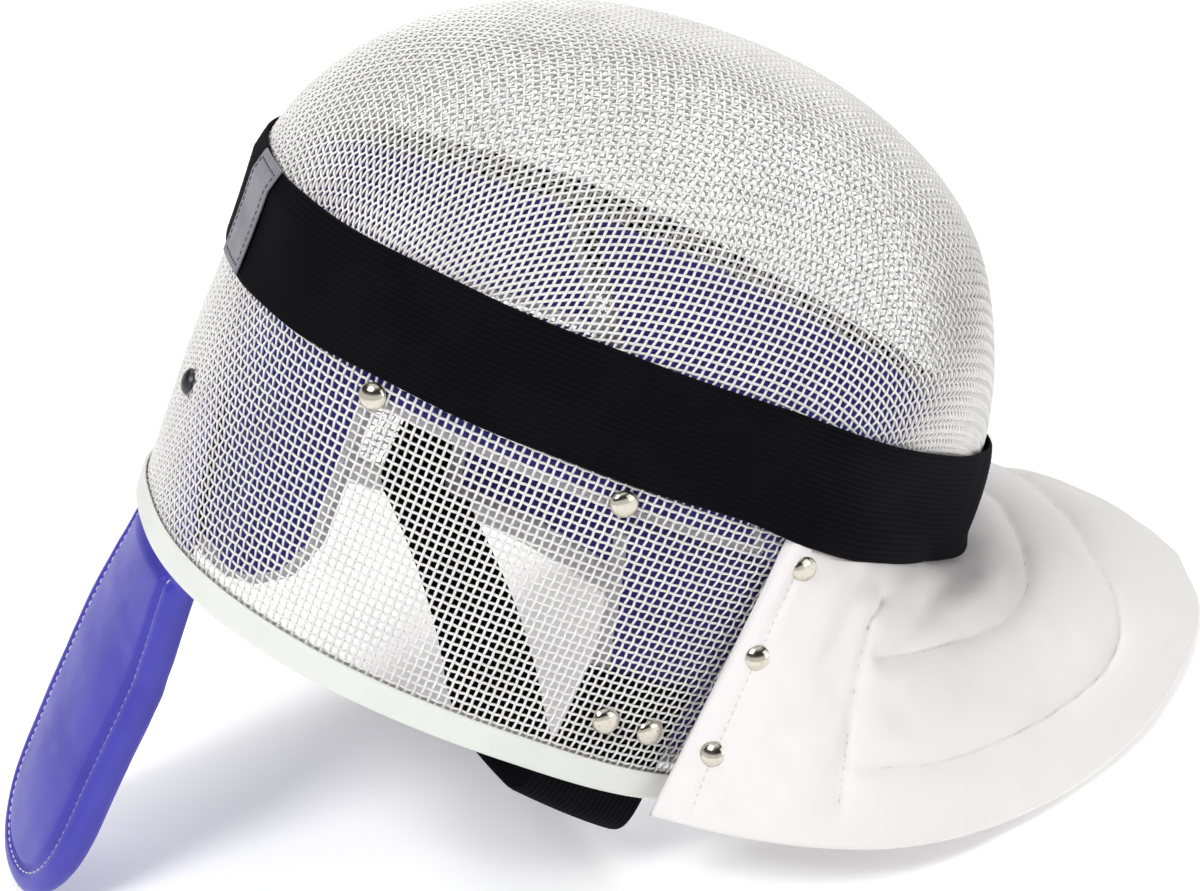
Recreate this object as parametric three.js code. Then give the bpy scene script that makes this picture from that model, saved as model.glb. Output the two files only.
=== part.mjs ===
// A fencing mask: a wire mesh shell with its rim trim, elastic straps, padding, back tongue and bib.
// Millimetres. In the mask's own frame +X runs from the crown to the chin, +Y to the far ear and
// +Z from the rim up to the face mesh. The finished mask is tilted to stand on its bib and tongue.
import * as THREE from 'three';
import { mergeVertices } from 'three/addons/utils/BufferGeometryUtils.js';

// Driving dimensions

const SHELL = {
  halfLength: 142, // crown to chin, at the widest level
  halfWidth: 117,
  roundness: 2.43, // exponent of the superellipse seen from above
  wallTop: 141.5, // where the upright wall turns into the dome
  height: 252.5,
  domeRoundness: 2.215,
  domeShift: 22.7, // how far the dome's top leans to the chin
  crownTaper: 0.067, // narrowing for each 100 mm below the wall's top
  chinTaper: 0.139,
  sideFlare: 0.024,
  chinWidening: 0.091,
  thickness: 2,
};
// How far the chin juts out of the plain oval, and the crown sinks in, at heights above the rim.
const WALL_PROFILE = [
  { height: 0, chin: 0, crown: 0 },
  { height: 35, chin: 6, crown: 0 },
  { height: 70, chin: 15, crown: -0.5 },
  { height: 105, chin: 22.5, crown: -3 },
  { height: 141.5, chin: 22, crown: -3 },
  { height: 170, chin: 10.5, crown: -1 },
  { height: 200, chin: 0, crown: 0 },
];

const GAP = 0.4; // clearance between pieces that touch
const REST_TILT = 34.2; // degrees that the chin drops when the mask stands

const TRIM = { thickness: 1.4, height: 9.5 };

const STRAP = { thickness: 1.5, middle: 125, chinStandLow: 14.5, chinStandHigh: 1 };
// Edges of the head strap; around is the angle from the chin, the heights are above the rim.
const STRAP_EDGES = [
  { around: 0, low: 107, high: 150 },
  { around: 22, low: 107, high: 150.5 },
  { around: 48, low: 109.5, high: 153 },
  { around: 78, low: 112, high: 156 },
  { around: 120, low: 110.5, high: 154 },
  { around: 150, low: 107.5, high: 151 },
  { around: 180, low: 106, high: 150 },
];
// The patch sits off the crown's middle to the near side; lean is how far it is sewn on askew.
const PATCH = { middle: 181.7, halfAngle: 7, lean: 1.7, low: 106.5, high: 150.8, thickness: 1.2 };

const BIB = {
  halfAngle: 68, // where the bib's front edges run down the sides
  thickness: 6,
  hemThickness: 4,
  bulge: 15, // how far the padding bows out at the chin
  hemReach: 291, // the hem's foremost point and its height above the rim
  hemHeight: 118.8,
  topDrop: 7, // how far below the strap it leaves the chin
  topShare: 0.98,
};
// The hem: x and y of its half outline, and its lift off the floor.
const BIB_HEM = [
  { around: 0, x: 291, y: 0, lift: 0 },
  { around: 8, x: 281, y: 45, lift: 0 },
  { around: 16, x: 258, y: 86, lift: 0 },
  { around: 24, x: 232, y: 117, lift: 0 },
  { around: 32, x: 203, y: 138, lift: 0 },
  { around: 40, x: 168, y: 153, lift: 4 },
  { around: 48, x: 134, y: 161, lift: 12 },
  { around: 55, x: 104, y: 158, lift: 20 },
  { around: 62, x: 76, y: 145, lift: 27 },
  { around: 68, x: 54, y: 124.5, lift: 31 },
];

const TONGUE = {
  centreX: -119.5,
  top: 66, // height inside the crown wall
  tip: -158.9, // height of the tip, below the rim
  neckHalfWidth: 26,
  halfWidth: 41,
  lowHalfWidth: 38.5,
  roundEnd: 46,
  flatThickness: 3,
  thickness: 13,
  tipThickness: 7,
  bow: 0.0022, // curvature across the width, to suit the crown wall
  twist: 8, // degrees
};

const PAD = {
  inner: 12.4, // inner face inside the shell's outer face
  tongueRoom: 6.4, // hollows behind the tongue's flap and the neck strap's tabs
  strapRoom: 5.3,
  chinTop: 97, // the ends of the chin pad lie below the crown pad's lower edge
  crownBottom: 100,
  slantSpan: 54,
};
const PAD_ROWS = { below: [10.5, 35, 70, 97], above: [105, 123, 141.5, 146] };
// Columns of the crown pad: its lower edge, and how far the column leans with height.
const CROWN_PAD_COLUMNS = [
  { around: 65.5, low: 100, slant: 20 },
  { around: 76, low: 100, slant: 14.5 },
  { around: 87, low: 100, slant: 9 },
  { around: 99, low: 100, slant: 3 },
  { around: 111, low: 100, slant: 0 },
  { around: 122, low: 100, slant: 0 },
  { around: 133, low: 42, slant: 0 },
  { around: 136, low: 26, slant: 0 },
  { around: 142, low: 16, slant: 0 },
  { around: 150, low: 11, slant: 0 },
  { around: 157, low: 10.5, slant: 0 },
  { around: 164, low: 10.5, slant: 0 },
  { around: 172, low: 10.5, slant: 0 },
  { around: 180, low: 10.5, slant: 0 },
];
// Columns of the chin pad: the lean of the part above the split, and of the part below it.
const CHIN_PAD_COLUMNS = [
  { around: 0, slant: 0, lean: 0 },
  { around: 12, slant: 4, lean: 0 },
  { around: 24, slant: 8, lean: 0 },
  { around: 36, slant: 12, lean: 0 },
  { around: 48, slant: 16, lean: 0 },
  { around: 60, slant: 20, lean: 0 },
  { around: 68, slant: 20, lean: 0 },
  { around: 76, slant: 20, lean: 2.5 },
  { around: 84, slant: 20, lean: 5.5 },
  { around: 91, slant: 20, lean: 8 },
];
const PAD_SIDES = { crownDrop: 133, chinRise: 60 }; // where each pad leaves its full height

const NECK_STRAP = {
  halfWidth: 22,
  thickness: 1.8,
  inset: 4.2, // its outer face inside the shell's outer face
  nearX: 32, // middle of the end on the near side, and on the far side
  farX: 14,
};
// How the strap hangs: across is the share of the shell's half width, near side first.
const NECK_STRAP_HANG = [
  { across: -1, height: 42 },
  { across: -1, height: 8 },
  { across: -0.99, height: -12 },
  { across: -0.92, height: -22 },
  { across: -0.67, height: -28 },
  { across: -0.45, height: -33 },
  { across: -0.26, height: -36 },
  { across: -0.08, height: -28 },
  { across: 0.07, height: -14 },
  { across: 0.27, height: -5 },
  { across: 0.52, height: 0 },
  { across: 0.8, height: 4 },
  { across: 0.92, height: 5 },
  { across: 0.98, height: 8 },
  { across: 1, height: 16 },
  { across: 1, height: 42 },
];

const RIVET = { radius: 5.2, height: 2.9, sides: 12 };
const PAD_RIVETS = [
  { name: 'crown_pad_rivet', around: 131.5, height: 103 },
  { name: 'chin_pad_rivet', around: 92.6, height: 104 },
];
const TONGUE_RIVET = { around: 180, height: 58 };
const NECK_RIVET = { height: 25, spacing: 18.7 };
const BIB_RIVETS = [
  { name: 'upper', around: 64, along: 0.06 },
  { name: 'middle', around: 65, along: 0.385 },
  { name: 'lower', around: 65.3, along: 0.735 },
];

const COLOURS = {
  mesh: { color: 0xe9e7e0, roughness: 0.45, metalness: 0.3 },
  trim: { color: 0xe1e2dc, roughness: 0.5, metalness: 0 },
  elastic: { color: 0x101014, roughness: 0.9, metalness: 0 },
  patch: { color: 0x96949e, roughness: 0.6, metalness: 0 },
  bib: { color: 0xf4efef, roughness: 0.65, metalness: 0 },
  tongue: { color: 0x4b48be, roughness: 0.5, metalness: 0 },
  lining: { color: 0x28288c, roughness: 0.95, metalness: 0 },
  rivet: { color: 0xc9c5bc, roughness: 0.2, metalness: 1 },
  darkRivet: { color: 0x2a2a2e, roughness: 0.35, metalness: 0.8 },
};

// Small helpers

const { degToRad, lerp, clamp, smoothstep } = THREE.MathUtils;
const FLOOR_SLOPE = Math.tan(degToRad(REST_TILT));

function power(value, exponent) {
  return Math.sign(value) * Math.abs(value) ** exponent;
}

// Reads a column of a table between its rows, on a smooth curve through them.
function readTable(table, column, around) {
  const key = clamp(Math.abs(around), table[0].around, table.at(-1).around);
  const next = Math.max(1, table.findIndex((row) => row.around >= key));
  const slope = (k) => {
    const before = table[Math.max(0, k - 1)];
    const after = table[Math.min(table.length - 1, k + 1)];
    return (after[column] - before[column]) / (after.around - before.around);
  };
  const [a, b] = [table[next - 1], table[next]];
  const span = b.around - a.around;
  const t = (key - a.around) / span;
  const even = t * t * (3 - 2 * t);
  const leave = t * (1 - t) * (1 - t);
  const arrive = t * t * (t - 1);
  return lerp(a[column], b[column], even) + span * (slope(next - 1) * leave + slope(next) * arrive);
}

// Reads a column of a table along straight lines between its rows.
function readStraight(table, column, height) {
  const next = clamp(table.findIndex((row) => row.height > height), 1, table.length - 1);
  const [a, b] = height >= table.at(-1).height ? table.slice(-2) : [table[next - 1], table[next]];
  return lerp(a[column], b[column], clamp((height - a.height) / (b.height - a.height), 0, 1));
}

// 1 at an angle, fading to 0 away from it.
function nearAngle(around, middle) {
  const turn = Math.abs(around > 180 ? around - 360 : around);
  return 1 - smoothstep(Math.abs(turn - middle), 12, 50);
}

// The shell's surface

// A point of the shell at an angle from the chin and a height, moved out by a distance.
function shellPoint(around, height, out = 0) {
  const angle = degToRad(around);
  const [c, s] = [Math.cos(angle), Math.sin(angle)];
  const n = SHELL.roundness;
  const radius = (Math.abs(c) ** n + Math.abs(s) ** n) ** (-1 / n);
  const below = Math.max(0, SHELL.wallTop - height) / 100;
  const rise = clamp((height - SHELL.wallTop) / (SHELL.height + out - SHELL.wallTop), 0, 1);
  const shrink = (1 - rise ** SHELL.domeRoundness) ** (1 / SHELL.domeRoundness);
  const taper = c < 0 ? SHELL.crownTaper : SHELL.chinTaper;
  const swell = readStraight(WALL_PROFILE, 'chin', height) * nearAngle(around, 0) +
    readStraight(WALL_PROFILE, 'crown', height) * nearAngle(around, 180);
  const length = SHELL.halfLength * (1 - taper * below) + swell + out;
  const width =
    SHELL.halfWidth * (1 + SHELL.chinWidening * radius * c) * (1 + SHELL.sideFlare * below) + out;
  return new THREE.Vector3(
    SHELL.domeShift * rise + length * shrink * radius * c,
    width * shrink * radius * s,
    height,
  );
}

// The direction straight out of the wall.
function outward(around, height) {
  const step = 0.5;
  const along = shellPoint(around + step, height).sub(shellPoint(around - step, height));
  const rise = shellPoint(around, height + step).sub(shellPoint(around, height - step));
  return along.cross(rise).normalize();
}

// Half the shell's width at a place along it.
function wallY(x, height, out) {
  let [low, high] = [0, 180];
  for (let step = 0; step < 30; step += 1) {
    const middle = (low + high) / 2;
    if (shellPoint(middle, height, out).x > x) low = middle;
    else high = middle;
  }
  return shellPoint(low, height, out).y;
}

// Closed bodies

// Makes one closed body of points and faces, and turns its faces outward.
function closedBody(points, faces) {
  const used = new Map();
  const corners = faces.flat().map((k) => {
    if (!used.has(k)) used.set(k, used.size);
    return used.get(k);
  });
  const raw = new THREE.BufferGeometry().setFromPoints([...used.keys()].map((k) => points[k]));
  raw.setIndex(corners);
  const merged = mergeVertices(raw, 1e-3);
  const at = (k) => new THREE.Vector3().fromBufferAttribute(merged.attributes.position, k);
  const kept = [];
  let volume = 0;
  for (let k = 0; k < corners.length; k += 3) {
    const [a, b, c] = merged.index.array.slice(k, k + 3);
    if (a === b || b === c || c === a) continue;
    kept.push([a, b, c]);
    volume += at(a).dot(at(b).cross(at(c)));
  }
  merged.setIndex(kept.flatMap(([a, b, c]) => (volume < 0 ? [a, c, b] : [a, b, c])));
  merged.computeVertexNormals();
  return merged;
}

// Joins two grids of points, an outer and an inner face, into a wall with closed edges.
// The wall can run round in a ring, and cells that aren't present are left out of it.
function wallBody(outer, inner, { round = false, present = () => true } = {}) {
  const rows = outer.length;
  const columns = outer[0].length;
  const spans = round ? columns : columns - 1;
  const inside = rows * columns;
  const at = (row, column) => row * columns + ((column + columns) % columns);
  const faces = [];
  const quad = (a, b, c, d) => faces.push([a, b, c], [a, c, d]);
  const edge = (a, b) => quad(b, a, a + inside, b + inside);
  const open = (row, k) => {
    if (row < 0 || row >= rows - 1 || (!round && (k < 0 || k >= spans))) return true;
    return !present(row, (k + spans) % spans);
  };
  for (let row = 0; row < rows - 1; row += 1) {
    for (let k = 0; k < spans; k += 1) {
      if (open(row, k)) continue;
      const [a, b, c, d] = [at(row, k), at(row, k + 1), at(row + 1, k + 1), at(row + 1, k)];
      quad(a, b, c, d);
      quad(d + inside, c + inside, b + inside, a + inside);
      if (open(row - 1, k)) edge(a, b);
      if (open(row, k + 1)) edge(b, c);
      if (open(row + 1, k)) edge(c, d);
      if (open(row, k - 1)) edge(d, a);
    }
  }
  return closedBody([...outer.flat(), ...inner.flat()], faces);
}

// Joins closed sections, each a loop of points, into a ring or a capped bar.
function loftBody(sections, { ring = false } = {}) {
  const count = sections[0].length;
  const points = sections.flat();
  const faces = [];
  const spans = ring ? sections.length : sections.length - 1;
  for (let k = 0; k < spans; k += 1) {
    const [here, next] = [k * count, ((k + 1) % sections.length) * count];
    for (let j = 0; j < count; j += 1) {
      const other = (j + 1) % count;
      faces.push([here + j, here + other, next + other], [here + j, next + other, next + j]);
    }
  }
  if (!ring) {
    for (const [first, turned] of [[0, true], [(sections.length - 1) * count, false]]) {
      const centre = new THREE.Vector3();
      for (let j = 0; j < count; j += 1) centre.addScaledVector(points[first + j], 1 / count);
      const hub = points.push(centre) - 1;
      for (let j = 0; j < count; j += 1) {
        const [a, b] = [first + j, first + ((j + 1) % count)];
        faces.push(turned ? [b, a, hub] : [a, b, hub]);
      }
    }
  }
  return closedBody(points, faces);
}

// Gives a grid of middle points a thickness along its own normals.
function thicken(middle, halfThickness) {
  const rows = middle.length;
  const columns = middle[0].length;
  const face = (side) =>
    middle.map((line, row) =>
      line.map((point, k) => {
        const across = middle[row][Math.min(k + 1, columns - 1)].clone()
          .sub(middle[row][Math.max(k - 1, 0)]);
        const down = middle[Math.min(row + 1, rows - 1)][k].clone()
          .sub(middle[Math.max(row - 1, 0)][k]);
        const normal = across.cross(down).normalize();
        return point.clone().addScaledVector(normal, side * halfThickness(row / (rows - 1)));
      }),
    );
  return wallBody(face(1), face(-1));
}

function stations(count) {
  return Array.from({ length: count }, (_, k) => (360 * k) / count);
}

function evenly(count, from, to) {
  return Array.from({ length: count + 1 }, (_, k) => lerp(from, to, k / count));
}

// Shell, trim and head strap

const RING_SIDES = 64;

function meshShell() {
  const wallHeights = WALL_PROFILE.map((row) => row.height).filter((z) => z < SHELL.wallTop);
  const domeAngles = evenly(9, 0, 90);
  const face = (out) => {
    const dome = domeAngles.map((angle) => {
      const rise = Math.sin(degToRad(angle)) ** (2 / SHELL.domeRoundness);
      return SHELL.wallTop + (SHELL.height + out - SHELL.wallTop) * rise;
    });
    return [...wallHeights, ...dome].map((height) =>
      stations(RING_SIDES).map((around) => shellPoint(around, height, out)),
    );
  };
  return wallBody(face(0), face(-SHELL.thickness), { round: true });
}

// The edging grips the rim in a U section.
function rimTrim() {
  const [near, far] = [GAP, GAP + TRIM.thickness];
  const under = -GAP;
  const section = [
    [far, -far],
    [far, TRIM.height],
    [near, TRIM.height],
    [near, under],
    [-SHELL.thickness - near, under],
    [-SHELL.thickness - near, TRIM.height],
    [-SHELL.thickness - far, TRIM.height],
    [-SHELL.thickness - far, -far],
  ];
  // Below the rim the wall has no shape of its own, so the section hangs from the rim's outline.
  const place = (around, out, height) => {
    const point = shellPoint(around, Math.max(0, height), out);
    return point.setZ(height);
  };
  return loftBody(
    stations(RING_SIDES).map((around) =>
      section.map(([out, height]) => place(around, out, height)),
    ),
    { ring: true },
  );
}

function headStrap() {
  return loftBody(
    stations(RING_SIDES).map((angle) => {
      const around = angle > 180 ? angle - 360 : angle;
      const low = readTable(STRAP_EDGES, 'low', around);
      const high = readTable(STRAP_EDGES, 'high', around);
      const stand = (z) => GAP + nearAngle(around, 0) *
        lerp(STRAP.chinStandLow, STRAP.chinStandHigh, (z - low) / (high - low));
      const heights = [low, STRAP.middle, SHELL.wallTop, high];
      const face = (out) => heights.map((z) => shellPoint(around, z, stand(z) + out));
      return [...face(STRAP.thickness), ...face(0).reverse()];
    }),
    { ring: true },
  );
}

function strapPatch() {
  const inside = 2 * GAP + STRAP.thickness;
  const face = (out) =>
    [PATCH.low, lerp(PATCH.low, SHELL.wallTop, 0.5), SHELL.wallTop, PATCH.high].map((height) => {
      const rise = (height - PATCH.low) / (PATCH.high - PATCH.low);
      const middle = PATCH.middle + PATCH.lean * (2 * rise - 1);
      return evenly(8, middle - PATCH.halfAngle, middle + PATCH.halfAngle).map((around) =>
        shellPoint(around, height, out),
      );
    });
  return wallBody(face(inside + PATCH.thickness), face(inside));
}

// Bib

// A point of the bib's middle surface; along runs from the strap to the hem.
function bibPoint(around, along) {
  const side = Math.sign(around) || 1;
  const share = Math.abs(around) / BIB.halfAngle;
  const x = readTable(BIB_HEM, 'x', around);
  const lift = readTable(BIB_HEM, 'lift', around) / Math.cos(degToRad(REST_TILT));
  const height = BIB.hemHeight + FLOOR_SLOPE * (x - BIB.hemReach) + lift;
  const hem = new THREE.Vector3(x, side * readTable(BIB_HEM, 'y', around), height);
  const half = BIB.thickness / 2;
  const low = readTable(STRAP_EDGES, 'low', around) - GAP - BIB.topDrop * nearAngle(around, 0);
  const seat = GAP + half * (0.75 + 0.25 * share);
  const top = shellPoint(around * BIB.topShare, low - half * (1.5 - share), seat);
  const point = top.clone().lerp(hem, along);
  const run = hem.clone().sub(top);
  const level = new THREE.Vector3(run.x, run.y, 0).normalize();
  const up = new THREE.Vector3(-level.x * run.z, -level.y * run.z, run.dot(level)).normalize();
  const bow = BIB.bulge * (1 - share ** 1.5) * Math.sin(Math.PI * along ** 1.3);
  return point.addScaledVector(up, bow);
}

function bibBody() {
  const middle = evenly(9, 0, 1).map((along) =>
    evenly(36, -BIB.halfAngle, BIB.halfAngle).map((around) => bibPoint(around, along)),
  );
  const hem = (share) => lerp(BIB.thickness, BIB.hemThickness, smoothstep(share, 0.85, 1)) / 2;
  return thicken(middle, hem);
}

// Tongue

function tongueBody() {
  const halfSection = 8;
  const crownX = (height) => shellPoint(180, Math.max(0, height)).x;
  const section = (height) => {
    const padded = smoothstep(-height, 3, 22);
    const toTip = clamp((TONGUE.tip + TONGUE.roundEnd - height) / TONGUE.roundEnd, 0, 0.985);
    const round = (1 - toTip ** 2.3) ** (1 / 2.3);
    const widen = smoothstep(-height, -TONGUE.top, 0);
    const narrow = (TONGUE.halfWidth - TONGUE.lowHalfWidth) * smoothstep(-height, 20, 115);
    const halfWidth = (lerp(TONGUE.neckHalfWidth, TONGUE.halfWidth, widen) - narrow) * round;
    const thin = lerp(TONGUE.thickness, TONGUE.tipThickness, toTip ** 2);
    const half = lerp(TONGUE.flatThickness, thin, padded) / 2;
    const inset = SHELL.thickness + GAP + (TRIM.thickness + GAP) * smoothstep(-height, -30, -12);
    const centre = lerp(crownX(height) + inset + half + GAP, TONGUE.centreX, padded);
    const twist = degToRad(TONGUE.twist) * smoothstep(-height, 0, 60);
    return Array.from({ length: 2 * halfSection }, (_, k) => {
      const angle = (Math.PI * k) / halfSection;
      const across = halfWidth * power(Math.cos(angle), 0.45);
      const through = half * power(Math.sin(angle), 0.7) + TONGUE.bow * across * across;
      return new THREE.Vector3(
        centre + through * Math.cos(twist) - across * Math.sin(twist),
        across * Math.cos(twist) + through * Math.sin(twist),
        height,
      );
    });
  };
  const heights = [
    ...evenly(4, TONGUE.top, 12).slice(0, -1),
    ...evenly(6, 12, -24).slice(0, -1),
    ...evenly(6, -24, TONGUE.tip + TONGUE.roundEnd).slice(0, -1),
    ...evenly(10, 0, 90).map(
      (angle) => TONGUE.tip + TONGUE.roundEnd * (1 - Math.sin(degToRad(angle))),
    ),
  ];
  return loftBody(heights.map(section));
}

// Padding

// How far the pads' outer face lies inside the shell, deeper behind the tongue and the neck strap.
function padOuter(around, height) {
  const turn = Math.abs(around > 180 ? around - 360 : around);
  const behindTongue = smoothstep(turn, 146, 156) * smoothstep(-height, -84, -72) * PAD.tongueRoom;
  const strapSide = smoothstep(turn, 52, 60) * (1 - smoothstep(turn, 100, 120));
  const behindStrap = strapSide * smoothstep(-height, -56, -46) * PAD.strapRoom;
  return -SHELL.thickness - 2 * GAP - behindTongue - behindStrap;
}

// Builds a pad from one side's columns, mirrored about the end row that is in the middle.
function padBody(table, { heights, turned, split, present }) {
  const half = table.map((column) => ({ ...column, side: 1 }));
  const other = half.map((column) => ({ ...column, side: -1 }));
  const columns = table[0].around === 0
    ? [...other.reverse(), ...half.slice(1)]
    : [...half, ...other.reverse().slice(1)];
  const face = (depth) =>
    heights(columns[0]).map((_, row) =>
      columns.map((column) => {
        const height = heights(column)[row];
        const turn = turned(column, height);
        const around = column.side > 0 ? turn : 360 - turn;
        return shellPoint(around, height, depth(around, height));
      }),
    );
  return wallBody(face(padOuter), face(() => -PAD.inner), {
    present: (row, k) => present(row < split, columns[k], columns[k + 1]),
  });
}

function crownPad() {
  const top = PAD.crownBottom;
  return padBody(CROWN_PAD_COLUMNS, {
    heights: ({ low }) => [...evenly(4, Math.min(low, top - 40), top), ...PAD_ROWS.above],
    turned: ({ around, slant }, height) =>
      around + (slant * Math.max(0, height - top)) / PAD.slantSpan,
    split: 4,
    present: (below, a, b) => !below || Math.min(a.around, b.around) >= PAD_SIDES.crownDrop,
  });
}

function chinPad() {
  const top = PAD.chinTop;
  return padBody(CHIN_PAD_COLUMNS, {
    heights: () => [...PAD_ROWS.below, ...PAD_ROWS.above],
    turned: ({ around, slant, lean }, height) =>
      around + (slant * Math.max(0, height - top) - lean * Math.max(0, top - height)) /
        PAD.slantSpan,
    split: PAD_ROWS.below.length - 1,
    present: (below, a, b) => below || Math.max(a.around, b.around) <= PAD_SIDES.chinRise,
  });
}

// Neck strap

function neckStrapX(share) {
  return lerp(NECK_STRAP.nearX, NECK_STRAP.farX, share);
}

function neckStrap() {
  const inset = NECK_STRAP.inset + NECK_STRAP.thickness / 2;
  const scale = SHELL.halfWidth;
  const hang = NECK_STRAP_HANG.map((row) => new THREE.Vector2(row.across * scale, row.height));
  const middle = new THREE.SplineCurve(hang).getSpacedPoints(44).map(({ x: side, y: height }) => {
    const share = (side / scale + 1) / 2;
    return evenly(3, -NECK_STRAP.halfWidth, NECK_STRAP.halfWidth).map((across) => {
      const x = neckStrapX(share) + across;
      const y = (side / scale) * wallY(x, Math.max(0, height), -inset);
      return new THREE.Vector3(x, y, height);
    });
  });
  return thicken(middle, () => NECK_STRAP.thickness / 2);
}

// Rivets

function rivetHead() {
  const profile = evenly(4, 90, 0).map((angle) => {
    const lean = degToRad(angle);
    return new THREE.Vector2(RIVET.radius * Math.cos(lean), RIVET.height * Math.sin(lean));
  });
  profile[0].x = 0;
  const back = new THREE.Vector2(0, 0);
  const lathe = new THREE.LatheGeometry([back, ...profile.reverse()], RIVET.sides);
  lathe.deleteAttribute('normal');
  lathe.deleteAttribute('uv');
  const points = [];
  for (let k = 0; k < lathe.attributes.position.count; k += 1) {
    points.push(new THREE.Vector3().fromBufferAttribute(lathe.attributes.position, k));
  }
  const corners = Array.from(lathe.index.array);
  const faces = [];
  for (let k = 0; k < corners.length; k += 3) faces.push(corners.slice(k, k + 3));
  return closedBody(points, faces);
}

const UP = new THREE.Vector3(0, 1, 0);

function rivetAt(name, place, direction, look) {
  const rivet = piece(name, rivetHead(), look);
  rivet.position.copy(place).addScaledVector(direction, GAP);
  rivet.quaternion.setFromUnitVectors(UP, direction);
  return rivet;
}

function wallRivet(name, around, height, look = COLOURS.rivet) {
  return rivetAt(name, shellPoint(around, height), outward(around, height), look);
}

function bibRivet(name, around, along) {
  const step = 0.01;
  const place = bibPoint(around, along);
  const across = bibPoint(around + 1, along).sub(bibPoint(around - 1, along));
  const down = bibPoint(around, along + step).sub(bibPoint(around, along - step));
  const normal = across.cross(down).normalize();
  if (normal.y * around < 0) normal.negate();
  place.addScaledVector(normal, BIB.thickness / 2 + GAP / 2);
  return rivetAt(name, place, normal, COLOURS.rivet);
}

function aroundOfX(x, height) {
  const y = wallY(x, height, 0);
  let [low, high] = [0, 180];
  for (let step = 0; step < 30; step += 1) {
    const middle = (low + high) / 2;
    if (shellPoint(middle, height).x > x) low = middle;
    else high = middle;
  }
  return y > 0 ? low : -low;
}

// Assembly

function piece(name, geometry, look) {
  const mesh = new THREE.Mesh(geometry, new THREE.MeshStandardMaterial(look));
  mesh.name = name;
  return mesh;
}

const mask = new THREE.Group();
mask.add(
  piece('mesh_shell', meshShell(), COLOURS.mesh),
  piece('rim_trim', rimTrim(), COLOURS.trim),
  piece('head_strap', headStrap(), COLOURS.elastic),
  piece('strap_patch', strapPatch(), COLOURS.patch),
  piece('bib', bibBody(), COLOURS.bib),
  piece('tongue', tongueBody(), COLOURS.tongue),
  piece('crown_pad', crownPad(), COLOURS.lining),
  piece('chin_pad', chinPad(), COLOURS.lining),
  piece('neck_strap', neckStrap(), COLOURS.elastic),
  wallRivet('tongue_rivet', TONGUE_RIVET.around, TONGUE_RIVET.height, COLOURS.darkRivet),
);
for (const [side, label, end] of [[-1, 'near', NECK_STRAP.nearX], [1, 'far', NECK_STRAP.farX]]) {
  for (const { name, around, height } of PAD_RIVETS) {
    mask.add(wallRivet(`${name}_${label}`, side * around, height));
  }
  for (const { name, around, along } of BIB_RIVETS) {
    mask.add(bibRivet(`bib_rivet_${label}_${name}`, side * around, along));
  }
  for (const [k, label2] of [[-0.5, 'back'], [0.5, 'front']]) {
    const around = side * aroundOfX(end + k * NECK_RIVET.spacing, NECK_RIVET.height);
    mask.add(wallRivet(`neck_rivet_${label}_${label2}`, around, NECK_RIVET.height));
  }
}

// The mask tips chin down until the hem of the bib and the tongue's tip share the floor.
mask.rotation.y = degToRad(REST_TILT);
const group = new THREE.Group();
group.add(mask);
group.updateMatrixWorld(true);
const bounds = new THREE.Box3().setFromObject(group, true);
const middle = bounds.getCenter(new THREE.Vector3());
mask.position.set(-middle.x, 0, -bounds.min.z);

export default group;
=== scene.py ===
"""Dresses a fencing mask: woven wire, elastic straps, quilted bib, padded tongue and lining."""

import logging
import math
from dataclasses import dataclass, field
from enum import Enum
from typing import Callable, Iterable, Mapping, Sequence, Union

import bpy
import numpy as np
from mathutils import Matrix, Vector
from mathutils.kdtree import KDTree


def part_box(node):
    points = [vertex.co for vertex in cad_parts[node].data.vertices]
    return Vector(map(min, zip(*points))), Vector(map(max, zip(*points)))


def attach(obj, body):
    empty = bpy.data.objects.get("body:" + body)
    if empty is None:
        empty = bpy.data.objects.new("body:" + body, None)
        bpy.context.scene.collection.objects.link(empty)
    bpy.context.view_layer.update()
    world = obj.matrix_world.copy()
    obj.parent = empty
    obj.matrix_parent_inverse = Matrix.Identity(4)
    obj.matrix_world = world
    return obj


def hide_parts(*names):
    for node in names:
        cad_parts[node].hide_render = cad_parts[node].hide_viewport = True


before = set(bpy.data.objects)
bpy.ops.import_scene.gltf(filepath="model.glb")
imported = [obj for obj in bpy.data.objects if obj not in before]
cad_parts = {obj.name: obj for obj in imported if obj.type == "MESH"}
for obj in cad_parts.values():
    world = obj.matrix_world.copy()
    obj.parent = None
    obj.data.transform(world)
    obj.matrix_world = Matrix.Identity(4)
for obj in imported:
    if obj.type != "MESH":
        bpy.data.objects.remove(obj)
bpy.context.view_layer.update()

LOG = logging.getLogger("fencing_mask")
MM = 0.001
REST_TILT = 34.2  # degrees that the chin drops when the mask stands
Array = np.ndarray
Number = Union[float, Array]


# Shape helpers


def smoothstep(value: Number, low: float, high: float) -> Number:
    """Eases from 0 at low to 1 at high."""
    t = np.clip((value - low) / (high - low), 0.0, 1.0)
    return t * t * (3.0 - 2.0 * t)


def mix(a: Number, b: Number, share: Number) -> Number:
    """Goes from a to b as share goes from 0 to 1."""
    return a + (b - a) * share


def bell(value: Number, width: float) -> Number:
    """A soft bump of height 1 at 0."""
    return np.exp(-((value / width) ** 2))


def unit(vectors: Array) -> Array:
    """Vectors at length 1."""
    return vectors / np.maximum(np.linalg.norm(vectors, axis=-1, keepdims=True), 1e-12)


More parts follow.
